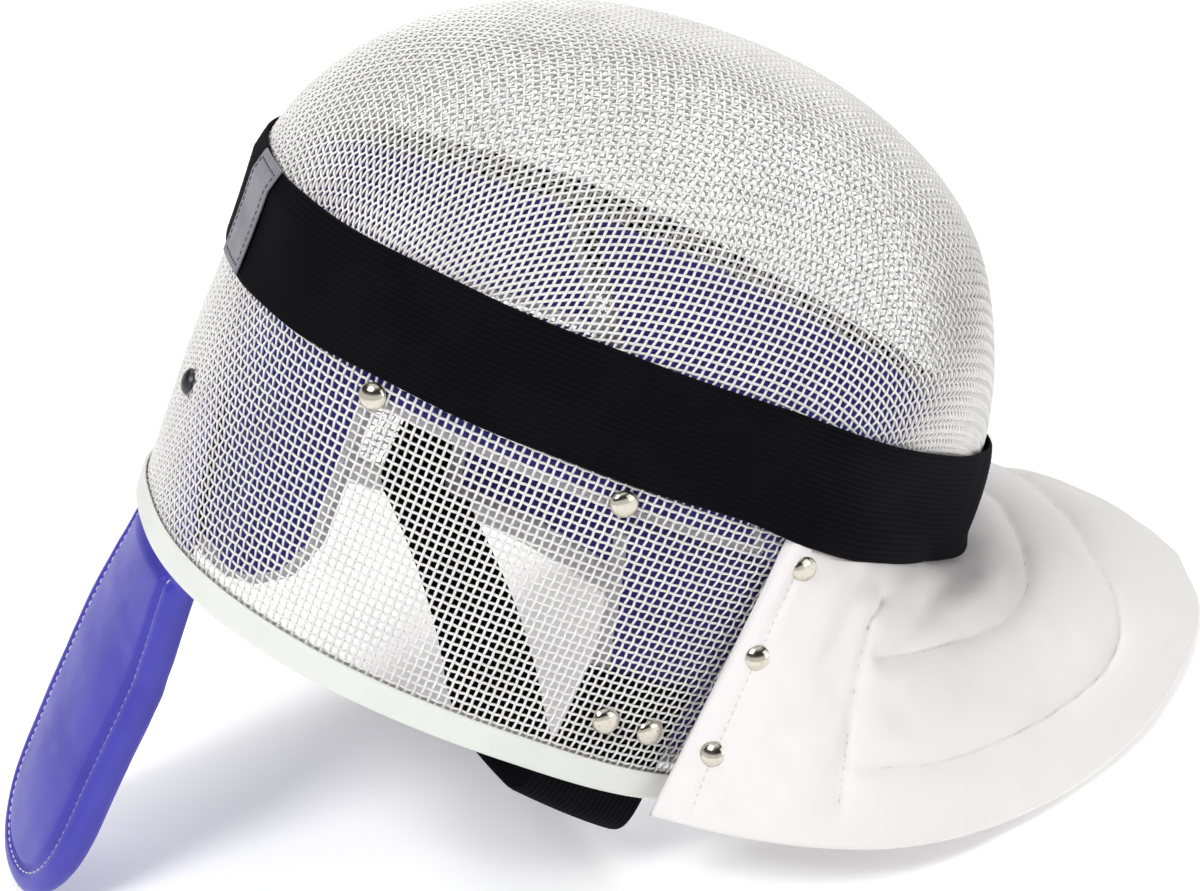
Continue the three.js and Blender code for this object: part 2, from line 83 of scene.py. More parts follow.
@dataclass(frozen=True)
class Table:
    """A short table of named columns, read on a smooth curve through its rows.

    The first column is the key.
    """

    columns: tuple[str, ...]
    rows: tuple[tuple[float, ...], ...]

    def read(self, column: str, key: Number) -> Array:
        """Reads one column.

        Args:
            column: the column's name.
            key: where to read it; outside the rows the end values hold.

        Returns:
            The values, one for each key.
        """
        keys = np.array([row[0] for row in self.rows])
        values = np.array([row[self.columns.index(column)] for row in self.rows])
        before = np.maximum(np.arange(len(keys)) - 1, 0)
        after = np.minimum(np.arange(len(keys)) + 1, len(keys) - 1)
        slopes = (values[after] - values[before]) / (keys[after] - keys[before])
        at = np.clip(np.asarray(key, float), keys[0], keys[-1])
        right = np.clip(np.searchsorted(keys, at, side="left"), 1, len(keys) - 1)
        left = right - 1
        span = keys[right] - keys[left]
        t = (at - keys[left]) / span
        even = t * t * (3.0 - 2.0 * t)
        leave = t * (1.0 - t) ** 2
        arrive = t * t * (t - 1.0)
        eased = values[left] + (values[right] - values[left]) * even
        return eased + span * (slopes[left] * leave + slopes[right] * arrive)


# Forms of the mask, in millimetres: +X to the chin, +Y to the far ear, +Z from the rim to the face

WALL_PROFILE = Table(
    ("height", "chin", "crown"),
    (
        (0, 0, 0),
        (35, 6, 0),
        (70, 15, -0.5),
        (105, 22.5, -3),
        (141.5, 22, -3),
        (170, 10.5, -1),
        (200, 0, 0),
        (230, 0, 0),
    ),
)


@dataclass(frozen=True)
class ShellForm:
    """The shell: an upright superellipse wall under a leaning dome."""

    half_length: float = 142.0
    half_width: float = 117.0
    roundness: float = 2.43
    wall_top: float = 141.5
    height: float = 252.5
    dome_roundness: float = 2.215
    dome_shift: float = 22.7
    crown_taper: float = 0.067
    chin_taper: float = 0.139
    side_flare: float = 0.024
    chin_widening: float = 0.091
    thickness: float = 2.0

    @staticmethod
    def turn(around: Number) -> Array:
        """The angle from the chin, from 0 to 180 degrees on either side."""
        return np.abs((np.asarray(around, float) + 180.0) % 360.0 - 180.0)

    def near(self, around: Number, middle: float) -> Array:
        """1 at an angle from the chin, fading to 0 away from it."""
        return 1.0 - smoothstep(np.abs(self.turn(around) - middle), 12.0, 50.0)

    def reach(self, around: Number, height: Number, forward: Array) -> Array:
        """Half the length of the oval at a height, where forward is over 0 on the chin's side."""
        below = np.maximum(0.0, self.wall_top - height) / 100.0
        taper = np.where(forward < 0, self.crown_taper, self.chin_taper)
        swell = WALL_PROFILE.read("chin", height) * self.near(around, 0.0)
        sink = WALL_PROFILE.read("crown", height) * self.near(around, 180.0)
        return self.half_length * (1.0 - taper * below) + swell + sink

    def breadth(self, height: Number, share: Array) -> Array:
        """Half the width of the oval at a height; share is -1 at the crown and 1 at the chin."""
        below = np.maximum(0.0, self.wall_top - height) / 100.0
        widened = self.half_width * (1.0 + self.chin_widening * share)
        return widened * (1.0 + self.side_flare * below)

    def point(self, around: Number, height: Number, out: Number = 0.0) -> Array:
        """Points of the shell.

        Args:
            around: degrees from the chin.
            height: millimetres above the rim.
            out: how far outside the shell's outer face.

        Returns:
            The points, in a last axis of length 3.
        """
        around, height, out = np.broadcast_arrays(
            np.asarray(around, float), np.asarray(height, float), np.asarray(out, float)
        )
        angle = np.radians(around)
        c, s = np.cos(angle), np.sin(angle)
        n = self.roundness
        radius = (np.abs(c) ** n + np.abs(s) ** n) ** (-1.0 / n)
        rise = np.clip((height - self.wall_top) / (self.height + out - self.wall_top), 0.0, 1.0)
        shrink = (1.0 - rise**self.dome_roundness) ** (1.0 / self.dome_roundness)
        length = self.reach(around, height, c) + out
        width = self.breadth(height, radius * c) + out
        x = self.dome_shift * rise + length * shrink * radius * c
        return np.stack([x, width * shrink * radius * s, height], axis=-1)

    def normal(self, around: Number, height: Number) -> Array:
        """Directions straight out of the wall."""
        step = 0.5
        around, height = np.broadcast_arrays(np.asarray(around, float), np.asarray(height, float))
        along = self.point(around + step, height) - self.point(around - step, height)
        up = self.point(around, height + step) - self.point(around, height - step)
        return unit(np.cross(along, up))

    def field(self, points: Array, out: float = 0.0) -> Array:
        """0 on the shell, over 0 outside it and under 0 inside."""
        x, y, z = points[..., 0], points[..., 1], points[..., 2]
        rise = np.maximum(0.0, (z - self.wall_top) / (self.height + out - self.wall_top))
        across = x - self.dome_shift * rise
        n = self.roundness
        length, width = self.half_length, self.half_width
        for _ in range(3):
            ahead, aside = across / length, y / width
            norm = (np.abs(ahead) ** n + np.abs(aside) ** n) ** (1.0 / n)
            around = np.degrees(np.arctan2(aside, ahead))
            length = self.reach(around, z, ahead) + out
            share = np.clip(ahead / np.maximum(norm, 1e-6), -1.0, 1.0)
            width = self.breadth(z, share) + out
        oval = (np.abs(across / length) ** n + np.abs(y / width) ** n) ** (1.0 / n)
        return oval**self.dome_roundness + rise**self.dome_roundness - 1.0

    def gradient(self, points: Array, out: float = 0.0) -> Array:
        """The field's slope along each axis."""
        step = 0.05
        slopes = []
        for axis in range(3):
            shift = np.zeros(3)
            shift[axis] = step
            rise = self.field(points + shift, out) - self.field(points - shift, out)
            slopes.append(rise / (2.0 * step))
        return np.stack(slopes, axis=-1)

    def around_of(self, x: float, height: float, out: float = 0.0) -> float:
        """The angle from the chin at which the wall reaches a place along the mask."""
        angles = np.linspace(0.0, 180.0, 1801)
        places = self.point(angles, height, out)[:, 0]
        return float(np.interp(-x, -places, angles))


STRAP_EDGES = Table(
    ("around", "low", "high"),
    (
        (0, 107, 150),
        (22, 107, 150.5),
        (48, 109.5, 153),
        (78, 112, 156),
        (120, 110.5, 154),
        (150, 107.5, 151),
        (180, 106, 150),
    ),
)

BIB_HEM = Table(
    ("around", "x", "y", "lift"),
    (
        (0, 291, 0, 0),
        (8, 281, 45, 0),
        (16, 258, 86, 0),
        (24, 232, 117, 0),
        (32, 203, 138, 0),
        (40, 168, 153, 4),
        (48, 134, 161, 12),
        (55, 104, 158, 20),
        (62, 76, 145, 27),
        (68, 54, 124.5, 31),
    ),
)

SHELL = ShellForm()
GAP = 0.4  # clearance between pieces that touch


@dataclass(frozen=True)
class BibForm:
    """The bib's middle surface, from the strap down to its hem."""

    half_angle: float = 68.0
    thickness: float = 6.0
    hem_thickness: float = 4.0
    bulge: float = 15.0
    hem_reach: float = 291.0
    hem_height: float = 118.8
    top_drop: float = 7.0
    top_share: float = 0.98
    tuck_run: float = 150.0

    def half_depth(self, along: Array) -> Array:
        """Half the padding's thickness, which thins towards the hem."""
        return mix(self.thickness, self.hem_thickness, smoothstep(along, 0.85, 1.0)) / 2.0

    def point(self, around: Number, along: Number) -> Array:
        """Points of the middle surface.

        Args:
            around: degrees from the chin, under 0 on the near side.
            along: 0 at the strap and 1 at the hem; under 0 it runs up the wall beneath the strap.

        Returns:
            The points, in a last axis of length 3.
        """
        around, along = np.broadcast_arrays(np.asarray(around, float), np.asarray(along, float))
        tucked = np.maximum(-along, 0.0) * self.tuck_run
        along = np.maximum(along, 0.0)
        turn = np.abs(around)
        share = turn / self.half_angle
        slope = math.tan(math.radians(REST_TILT))
        x = BIB_HEM.read("x", turn)
        lift = BIB_HEM.read("lift", turn) / math.cos(math.radians(REST_TILT))
        z = self.hem_height + slope * (x - self.hem_reach) + lift
        side = np.where(around < 0, -1.0, 1.0)
        hem = np.stack([x, side * BIB_HEM.read("y", turn), z], axis=-1)
        half = self.thickness / 2.0
        low = STRAP_EDGES.read("low", turn) - GAP - self.top_drop * SHELL.near(turn, 0.0)
        seat = GAP + half * (0.75 + 0.25 * share)
        top = SHELL.point(around * self.top_share, low - half * (1.5 - share) + tucked, seat)
        run = hem - top
        level = unit(run * np.array([1.0, 1.0, 0.0]))
        up = unit(
            np.stack(
                [
                    -level[..., 0] * run[..., 2],
                    -level[..., 1] * run[..., 2],
                    np.sum(run * level, axis=-1),
                ],
                axis=-1,
            )
        )
        bow = self.bulge * (1.0 - share**1.5) * np.sin(np.pi * along**1.3)
        return mix(top, hem, along[..., None]) + up * bow[..., None]


BIB = BibForm()


@dataclass(frozen=True)
class TongueForm:
    """The padded tongue behind the crown: a flap inside the wall, then a padded blade."""

    centre_x: float = -119.5
    top: float = 66.0
    tip: float = -158.9
    neck_half_width: float = 26.0
    half_width: float = 41.0
    low_half_width: float = 38.5
    round_end: float = 46.0
    flat_thickness: float = 3.0
    thickness: float = 13.0
    tip_thickness: float = 7.0
    bow: float = 0.0022
    twist: float = 8.0
    trim_thickness: float = 1.4

    def half_breadth(self, height: Array) -> Array:
        """Half the tongue's width at a height."""
        to_tip = np.clip((self.tip + self.round_end - height) / self.round_end, 0.0, 1.0)
        rounding = (1.0 - to_tip**2.3) ** (1.0 / 2.3)
        widen = smoothstep(-height, -self.top, 0.0)
        narrow = (self.half_width - self.low_half_width) * smoothstep(-height, 20.0, 115.0)
        return (mix(self.neck_half_width, self.half_width, widen) - narrow) * rounding

    def half_depth(self, height: Array) -> Array:
        """Half the tongue's thickness at a height."""
        to_tip = np.clip((self.tip + self.round_end - height) / self.round_end, 0.0, 1.0)
        thin = mix(self.thickness, self.tip_thickness, to_tip**2)
        return mix(self.flat_thickness, thin, self.padded(height)) / 2.0

    @staticmethod
    def padded(height: Array) -> Array:
        """0 on the flap inside the wall and 1 on the padded blade below the rim."""
        return smoothstep(-height, 2.4, 10.0)

    def place(self, across: Array, through: Array, height: Array) -> Array:
        """Points of the tongue.

        Args:
            across: millimetres from the centre line.
            through: millimetres towards the face from the middle surface.
            height: millimetres above the rim.

        Returns:
            The points, in a last axis of length 3.
        """
        padded = self.padded(height)
        half = self.half_depth(height)
        crown = SHELL.point(180.0, np.maximum(0.0, height))[..., 0]
        low = smoothstep(-height, -30.0, -12.0)
        inset = SHELL.thickness + GAP + (self.trim_thickness + GAP) * low
        centre = mix(crown + inset + half + GAP, self.centre_x, padded)
        twist = np.radians(self.twist) * smoothstep(-height, 0.0, 60.0)
        inward = through + self.bow * across * across
        x = centre + inward * np.cos(twist) - across * np.sin(twist)
        y = across * np.cos(twist) + inward * np.sin(twist)
        return np.stack([x, y, height], axis=-1)


# Knots of the slack strap: its side as a share of the shell's half width, and its height
NECK_STRAP_HANG = (
    (-1, 42),
    (-1, 8),
    (-0.99, -11),
    (-0.93, -19.5),
    (-0.8, -23),
    (-0.62, -25),
    (-0.42, -25.5),
    (-0.22, -21),
    (-0.04, -13.5),
    (0.13, -8),
    (0.31, -3.5),
    (0.54, 0.5),
    (0.8, 4),
    (0.92, 5),
    (0.98, 8),
    (1, 16),
    (1, 42),
)


@dataclass(frozen=True)
class NeckStrapForm:
    """The slack strap under the neck, riveted inside the wall at both ends."""

    half_width: float = 22.0
    thickness: float = 1.8
    inset: float = 4.2
    near_x: float = 32.0
    far_x: float = 14.0
    tilt: float = 0.17

    def hang(self, count: int) -> Array:
        """The strap's course across the mask, at even steps: side in millimetres, and height."""
        knots = np.array(NECK_STRAP_HANG, float) * np.array([SHELL.half_width, 1.0])
        padded = np.vstack([knots[:1], knots, knots[-1:]])
        t = np.linspace(0.0, 1.0, 24, endpoint=False)[:, None]
        course = []
        for k in range(len(knots) - 1):
            before, start, end, after = padded[k : k + 4]
            leave, arrive = (end - before) / 2.0, (after - start) / 2.0
            course.append(
                (2.0 * start - 2.0 * end + leave + arrive) * t**3
                + (-3.0 * start + 3.0 * end - 2.0 * leave - arrive) * t**2
                + leave * t
                + start
            )
        points = np.vstack([*course, knots[-1:]])
        return resample(points, count)

    def middle(self, rows: int, columns: int) -> Array:
        """The strap's middle surface, as a grid of rows across its length."""
        inset = self.inset + self.thickness / 2.0
        across = np.linspace(-self.half_width, self.half_width, columns)
        angles = np.linspace(0.0, 180.0, 721)
        grid = []
        for side, height in self.hang(rows):
            share = (side / SHELL.half_width + 1.0) / 2.0
            fold = float(bell(side / SHELL.half_width + 0.82, 0.32)) * (height < 8.0)
            x = mix(self.near_x, self.far_x, share) + across * (1.0 + 0.1 * fold)
            wall = SHELL.point(angles, max(0.0, height), -inset)
            y = side / SHELL.half_width * np.interp(-x, -wall[:, 0], wall[:, 1])
            grid.append(np.stack([x, y, height - self.tilt * fold * across], axis=-1))
        return np.array(grid)


def length_along(path: Array) -> Array:
    """How far each point of a path lies along it."""
    steps = np.linalg.norm(np.diff(path, axis=0), axis=1)
    return np.concatenate([[0.0], np.cumsum(steps)])


def read_along(values: Array, length: Array, at: Array) -> Array:
    """The values that belong to a path's points, read at distances along it."""
    return np.stack([np.interp(at, length, column) for column in values.T], axis=-1)


def resample(points: Array, count: int) -> Array:
    """Points at even steps along a path."""
    length = length_along(points)
    return read_along(points, length, np.linspace(0.0, length[-1], count))


def eased_ends(count: int, crowding: float = 0.6) -> Array:
    """Numbers from 0 to 1 that lie closer together near both ends."""
    even = np.linspace(0.0, 1.0, count)
    return mix(even, (1.0 - np.cos(np.pi * even)) / 2.0, crowding)


def grid_normals(grid: Array, ring: bool = False) -> Array:
    """Normals of a grid of points, whose columns may run round in a ring."""
    down = np.gradient(grid, axis=0)
    if ring:
        across = np.roll(grid, -1, axis=1) - np.roll(grid, 1, axis=1)
    else:
        across = np.gradient(grid, axis=1)
    return unit(np.cross(across, down))


def spot_tree(points: Array) -> KDTree:
    """A tree that finds the nearest of many points."""
    tree = KDTree(len(points))
    for index, place in enumerate(points):
        tree.insert(place, index)
    tree.balance()
    return tree


def distance_to(points: Array, path: Array) -> Array:
    """How far each point is from a path given by closely spaced points."""
    tree = spot_tree(path)
    flat = points.reshape(-1, 3)
    return np.array([tree.find(place)[2] for place in flat]).reshape(points.shape[:-1])


def waves(points: Array, length: float, seed: int, count: int = 9) -> Array:
    """Soft seeded unevenness between about -1 and 1 over points.

    Args:
        points: where to read it.
        length: the waves' typical length in millimetres.
        seed: which unevenness.
        count: how many waves are summed.

    Returns:
        One number for each point.
    """
    draw = np.random.default_rng(seed)
    total = np.zeros(points.shape[:-1])
    for _ in range(count):
        direction = unit(draw.normal(size=3))
        stretch = length * draw.uniform(0.7, 1.6)
        phase = draw.uniform(0.0, 2.0 * np.pi)
        total += np.sin(points @ direction * (2.0 * np.pi / stretch) + phase)
    return total / math.sqrt(count)


# Mesh making


class Stand:
    """Turns the mask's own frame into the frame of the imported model."""

    def __init__(self) -> None:
        """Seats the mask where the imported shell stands."""
        tilt = math.radians(REST_TILT)
        self.turn = np.array(
            [
                [math.cos(tilt), 0.0, math.sin(tilt)],
                [0.0, 1.0, 0.0],
                [-math.sin(tilt), 0.0, math.cos(tilt)],
            ]
        )
        around = np.arange(0.0, 360.0, 360.0 / 64)
        rim = SHELL.point(around, 0.0) @ self.turn.T
        wall_heights = (0.0, 35.0, 70.0, 105.0, SHELL.wall_top)
        wall = np.concatenate([SHELL.point(around, z) for z in wall_heights]) @ self.turn.T
        low = np.array(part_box("mesh_shell")[0]) / MM
        self.seat = np.array([low[0] - wall[:, 0].min(), 0.0, low[2] - rim[:, 2].min()])

    def place(self, points: Array) -> Array:
        """Points of the mask's frame in millimetres, in the row frame in metres."""
        return (points @ self.turn.T + self.seat) * MM

    def direction(self, vector: Sequence[float]) -> Vector:
        """A direction of the mask's frame, in the row frame."""
        return Vector(self.turn @ np.array(vector, float))


STAND = Stand()


@dataclass
class Skin:
    """Vertices and faces of a piece in the making, with a cloth coordinate for each vertex."""

    vertices: list[Array] = field(default_factory=list)
    faces: list[Array] = field(default_factory=list)
    marks: list[Array] = field(default_factory=list)
    count: int = 0

    def add(self, vertices: Array, faces: Array, marks: Array | None = None) -> None:
        """Adds a part of the piece.

        Args:
            vertices: its points, in the mask's frame.
            faces: its quads, as rows of vertex numbers within this closed part; they are
                turned outward.
            marks: its cloth coordinates in millimetres, as rows of three.
        """
        vertices = vertices.reshape(-1, 3)
        a, b, c, d = (vertices[faces[:, k]] for k in range(4))
        volume = np.sum(np.cross(a, b) * c) + np.sum(np.cross(a, c) * d)
        faces = faces if volume > 0 else faces[:, ::-1]
        self.vertices.append(vertices)
        self.faces.append(np.asarray(faces, np.int64) + self.count)
        self.marks.append(np.zeros_like(vertices) if marks is None else marks.reshape(-1, 3))
        self.count += len(vertices)

    def join(self, other: "Skin") -> None:
        """Adds every part of another piece in the making."""
        for vertices, faces, marks in zip(other.vertices, other.faces, other.marks):
            self.add(vertices, faces - faces.min(), marks)


@dataclass(frozen=True)
class Piece:
    """What the finished object is called, what it stands for and what it is finished in."""

    name: str
    node: str
    slot: str

    def build(self, skin: Skin, material: bpy.types.Material) -> bpy.types.Object:
        """Args:
            skin: its vertices and faces.
            material: its finish.

        Returns:
            The new object.
        """
        mesh = bpy.data.meshes.new(self.name)
        vertices = STAND.place(np.concatenate(skin.vertices))
        mesh.from_pydata(vertices.tolist(), [], np.concatenate(skin.faces).tolist())
        mesh.polygons.foreach_set("use_smooth", [True] * len(mesh.polygons))
        marks = mesh.attributes.new("cloth", "FLOAT_VECTOR", "POINT")
        marks.data.foreach_set("vector", np.concatenate(skin.marks).ravel())
        mesh.materials.append(material)
        mesh.update()
        piece = bpy.data.objects.new(self.name, mesh)
        bpy.context.scene.collection.objects.link(piece)
        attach(piece, "root")
        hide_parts(self.node)
        LOG.info("%s: %d faces", self.name, len(mesh.polygons))
        return piece


def grid_quads(rows: int, columns: int, ring: bool = False) -> Array:
    """The quads of a grid whose columns may run round in a ring."""
    row, column = np.mgrid[0 : rows - 1, 0 : columns if ring else columns - 1]
    after = (column + 1) % columns
    corners = [
        row * columns + column,
        row * columns + after,
        (row + 1) * columns + after,
        (row + 1) * columns + column,
    ]
    return np.stack([corner.ravel() for corner in corners], axis=-1)


def cap_quads(sides: int, first: int) -> Array:
    """The quads that close a ring of an even number of corners, from its first vertex on."""
    return np.array([[0, k, k + 1, k + 2] for k in range(1, sides - 2, 2)]) + first


def open_edges(quads: Array) -> Array:
    """The edges that only one of the quads has, as pairs of vertex numbers."""
    edges = np.concatenate([quads[:, [k, (k + 1) % 4]] for k in range(4)])
    keys = np.sort(edges, axis=1)
    _, inverse, counts = np.unique(keys, axis=0, return_inverse=True, return_counts=True)
    return edges[counts[inverse.ravel()] == 1]


def tube(
    path: Array, normals: Array, radii: Array, closed: bool = False, sides: int = 6
) -> tuple[Array, Array]:
    """A rod with an oval section along a path.

    Args:
        path: its middle points.
        normals: the direction of the section's first axis at each point.
        radii: half the section along the normal, and half of it across.
        closed: whether the path is a ring.
        sides: corners of the section.

    Returns:
        The rod's vertices and quads.
    """
    if closed:
        tangent = np.roll(path, -1, axis=0) - np.roll(path, 1, axis=0)
    else:
        tangent = np.gradient(path, axis=0)
    side = unit(np.cross(unit(tangent), normals))
    upright = np.cross(side, unit(tangent))
    angles = np.arange(sides) * (2.0 * np.pi / sides)
    up, out = np.cos(angles)[None, :, None], np.sin(angles)[None, :, None]
    rise = radii[0] * up * upright[:, None, :]
    swing = radii[1] * out * side[:, None, :]
    rings = path[:, None, :] + rise + swing
    count = len(path)
    grid = grid_quads(sides, count, ring=closed)
    flat = (grid // count) + (grid % count) * sides
    last = np.stack([np.arange(count if closed else count - 1)] * 2, axis=-1)
    after = (last[:, 0] + 1) % count
    start, end = last[:, 0] * sides, after * sides
    seam = np.stack([start + sides - 1, end + sides - 1, end, start], axis=-1)
    quads = [flat, seam]
    if not closed:
        quads += [cap_quads(sides, 0), cap_quads(sides, (count - 1) * sides)[:, ::-1]]
    return rings.reshape(-1, 3), np.concatenate(quads)


def pillow(
    middle: Array,
    lift: Array,
    drop: Array,
    present: Array | None = None,
    ring: bool = False,
    normals: Array | None = None,
) -> tuple[Array, Array]:
    """A closed pad over a grid of middle points: its two faces meet at the grid's border.

    Args:
        middle: the grid.
        lift: how far the upper face lies above it.
        drop: how far the lower face lies below it.
        present: which cells of the grid the pad fills.
        ring: whether the columns run round in a ring.
        normals: the directions in which the faces move away from the middle.

    Returns:
        The pad's vertices and quads.
    """
    rows, columns = middle.shape[:2]
    normals = grid_normals(middle, ring) if normals is None else normals
    quads = grid_quads(rows, columns, ring)
    if present is not None:
        quads = quads[present.ravel()]
    rim = np.unique(open_edges(quads))
    total = rows * columns
    border = np.zeros(total, bool)
    border[rim] = True
    up = np.where(border, 0.0, lift.ravel())[:, None]
    down = np.where(border, 0.0, drop.ravel())[:, None]
    points, away = middle.reshape(-1, 3), normals.reshape(-1, 3)
    vertices = np.concatenate([points + away * up, points - away * down])
    below = np.where(border, np.arange(total), np.arange(total) + total)
    quads = np.concatenate([quads, below[quads[:, ::-1]]])
    used, compact = np.unique(quads, return_inverse=True)
    return vertices[used], compact.reshape(-1, 4)


def both_faces(marks: Array, ring: bool = False) -> Array:
    """Cloth coordinates for both faces of a full pillow, whose border is shared."""
    inner = marks[1:-1] if ring else marks[1:-1, 1:-1]
    return np.concatenate([marks.reshape(-1, 3), inner.reshape(-1, 3)])


def rounding(distance: Array, radius: float) -> Array:
    """How full a pad is at a distance from its border: 0 there, 1 beyond the radius."""
    inside = 1.0 - np.clip(distance / radius, 0.0, 1.0)
    return np.sqrt(1.0 - inside**2)


def stitches(path: Array, normals: Array, length: float, spacing: float, radius: float) -> Skin:
    """A row of short raised threads along a path.

    Args:
        path: the seam, as closely spaced points.
        normals: the surface's normals along it.
        length: one stitch's length.
        spacing: from one stitch to the next.
        radius: half a stitch's thickness.

    Returns:
        The stitches.
    """
    skin = Skin()
    run = length_along(path)
    profile = np.array([0.35, 0.9, 1.0, 0.9, 0.35])
    for start in np.arange(spacing * 0.3, run[-1] - length, spacing):
        at = start + np.linspace(0.0, 1.0, len(profile)) * length
        line = read_along(path, run, at)
        away = unit(read_along(normals, run, at))
        arch = (profile - 1.0)[:, None] * radius
        vertices, quads = tube(line + away * arch, away, np.array([radius, radius]), sides=6)
        rings = vertices.reshape(len(profile), 6, 3)
        centre = rings.mean(axis=1, keepdims=True)
        shaped = centre + (rings - centre) * profile[:, None, None]
        skin.add(shaped, quads)
    return skin


# Finishes


class Value:
    """A number socket that can be used in Python sums."""

    def __init__(self, tree: "Tree", socket: bpy.types.NodeSocket) -> None:
        """Wraps a socket of a tree."""
        self.tree = tree
        self.socket = socket

    def _do(self, operation: str, *others: "Value | float") -> "Value":
        """Adds one Math node on this value and others."""
        inputs = {index: value for index, value in enumerate((self, *others))}
        return self.tree.node("ShaderNodeMath", {"operation": operation}, inputs)

    def __add__(self, other: "Value | float") -> "Value":
        """Adds."""
        return self._do("ADD", other)

    __radd__ = __add__

    def __mul__(self, other: "Value | float") -> "Value":
        """Multiplies."""
        return self._do("MULTIPLY", other)

    __rmul__ = __mul__

    def __sub__(self, other: "Value | float") -> "Value":
        """Subtracts."""
        return self._do("SUBTRACT", other)

    def __rsub__(self, other: float) -> "Value":
        """Subtracts this value from a number."""
        return self.tree.node(
            "ShaderNodeMath", {"operation": "SUBTRACT"}, {0: other, 1: self}
        )

    def wave(self) -> "Value":
        """The sine."""
        return self._do("SINE")

    def over(self, low: float, high: float) -> "Value":
        """0 below low, 1 above high and eased between."""
        return self.tree.node(
            "ShaderNodeMapRange",
            {"interpolation_type": "SMOOTHSTEP"},
            {"Value": self, "From Min": low, "From Max": high},
            "Result",
        )


Colour = tuple[float, float, float]
Input = Union[Value, bpy.types.NodeSocket, float, Sequence[float]]


class Tree:
    """The nodes of one material."""

    def __init__(self, name: str) -> None:
        """Starts a material with a Principled shader on its output."""
        self.material = bpy.data.materials.new(name)
        self.material.use_nodes = True
        self.nodes = self.material.node_tree.nodes
        self.links = self.material.node_tree.links
        self.shader = self.nodes["Principled BSDF"]
        self._made: dict[str, Union[bpy.types.NodeSocket, bpy.types.Node]] = {}

    def node(
        self,
        kind: str,
        settings: Mapping[str, object] | None = None,
        inputs: Mapping[Union[str, int], Input] | None = None,
        output: Union[str, int] = 0,
    ) -> Value:
        """Adds a node.

        Args:
            kind: the node's type.
            settings: its own settings, which are made before its sockets are filled.
            inputs: what goes into its sockets, by name or number.
            output: the socket that is given back.

        Returns:
            The output, ready for sums.
        """
        node = self.nodes.new(kind)
        for name, setting in (settings or {}).items():
            setattr(node, name, setting)
        for key, value in (inputs or {}).items():
            self.fill(node.inputs[key], value)
        return Value(self, node.outputs[output])

    def fill(self, socket: bpy.types.NodeSocket, value: Input) -> None:
        """Links or sets one socket."""
        if isinstance(value, Value):
            self.links.new(value.socket, socket)
        elif isinstance(value, bpy.types.NodeSocket):
            self.links.new(value, socket)
        elif isinstance(value, (int, float)):
            socket.default_value = value
        else:
            socket.default_value = (*value, 1.0) if socket.type == "RGBA" else tuple(value)

    def set(self, inputs: Mapping[str, Input]) -> None:
        """Fills sockets of the Principled shader."""
        for name, value in inputs.items():
            self.fill(self.shader.inputs[name], value)

    def place(self) -> Value:
        """Where a point lies on the object, in metres."""
        if "place" not in self._made:
            node = self.nodes.new("ShaderNodeTexCoord")
            self._made["place"] = node.outputs["Object"]
        return Value(self, self._made["place"])

    def cloth(self) -> tuple[Value, Value, Value]:
        """The piece's own cloth coordinates in millimetres: along, across and a third."""
        if "cloth" not in self._made:
            mark = self.node(
                "ShaderNodeAttribute",
                {"attribute_name": "cloth", "attribute_type": "GEOMETRY"},
                output="Vector",
            )
            split = self.nodes.new("ShaderNodeSeparateXYZ")
            self.links.new(mark.socket, split.inputs[0])
            self._made["cloth"] = split
        outputs = self._made["cloth"].outputs
        return tuple(Value(self, outputs[k]) for k in range(3))

    def cloud(self, size: float, detail: float = 3.0, roughness: float = 0.55) -> Value:
        """Soft noise over the object.

        Args:
            size: millimetres from one patch to the next.
            detail: how many finer layers it has.
            roughness: how strong they are.

        Returns:
            The noise, mostly from 0.3 to 0.7.
        """
        inputs = {
            "Vector": self.place(),
            "Scale": 1.0 / (size * MM),
            "Detail": detail,
            "Roughness": roughness,
        }
        return self.node("ShaderNodeTexNoise", {}, inputs)

    def blend(self, share: Input, first: Input, second: Input) -> Value:
        """Goes from one colour to another."""
        return self.node(
            "ShaderNodeMix",
            {"data_type": "RGBA", "clamp_factor": True},
            {0: share, 6: first, 7: second},
            2,
        )

    def bump(self, height: Value, depth: float, strength: float = 1.0) -> None:
        """Gives the surface a relief.

        Args:
            height: the relief, from 0 to 1.
            depth: millimetres from low to high.
            strength: how much of it shows.
        """
        inputs = {"Height": height, "Distance": depth * MM, "Strength": strength}
        self.set({"Normal": self.node("ShaderNodeBump", {}, inputs)})


@dataclass(frozen=True)
class Finish:
    """What every finish has: its name and the colours it moves between."""

    name: str
    light: Colour
    dark: Colour
    roughness: float = 0.5

    def make(self) -> bpy.types.Material:
        """Builds the material."""
        tree = Tree(self.name)
        self.paint(tree)
        return tree.material

    def paint(self, tree: Tree) -> None:
        """Fills the tree; each kind of finish has its own way."""
        raise NotImplementedError


@dataclass(frozen=True)
class Wire(Finish):
    """Steel wire with a light coating, dulled by handling."""

    metallic: float = 0.08

    def paint(self, tree: Tree) -> None:
        """Soft grey stains, with duller and brighter stretches along the wires."""
        stain = tree.cloud(24.0, 4.0, 0.6).over(0.42, 0.68)
        grain = tree.cloud(0.8, 2.0)
        colour = tree.blend(stain * 0.35, self.light, self.dark)
        tree.set(
            {
                "Base Color": tree.blend(grain.over(0.55, 0.75) * 0.25, colour, self.dark),
                "Metallic": self.metallic,
                "Roughness": self.roughness + (grain - 0.5) * 0.35 + stain * 0.1,
            }
        )
        tree.bump(grain, 0.05, 0.5)


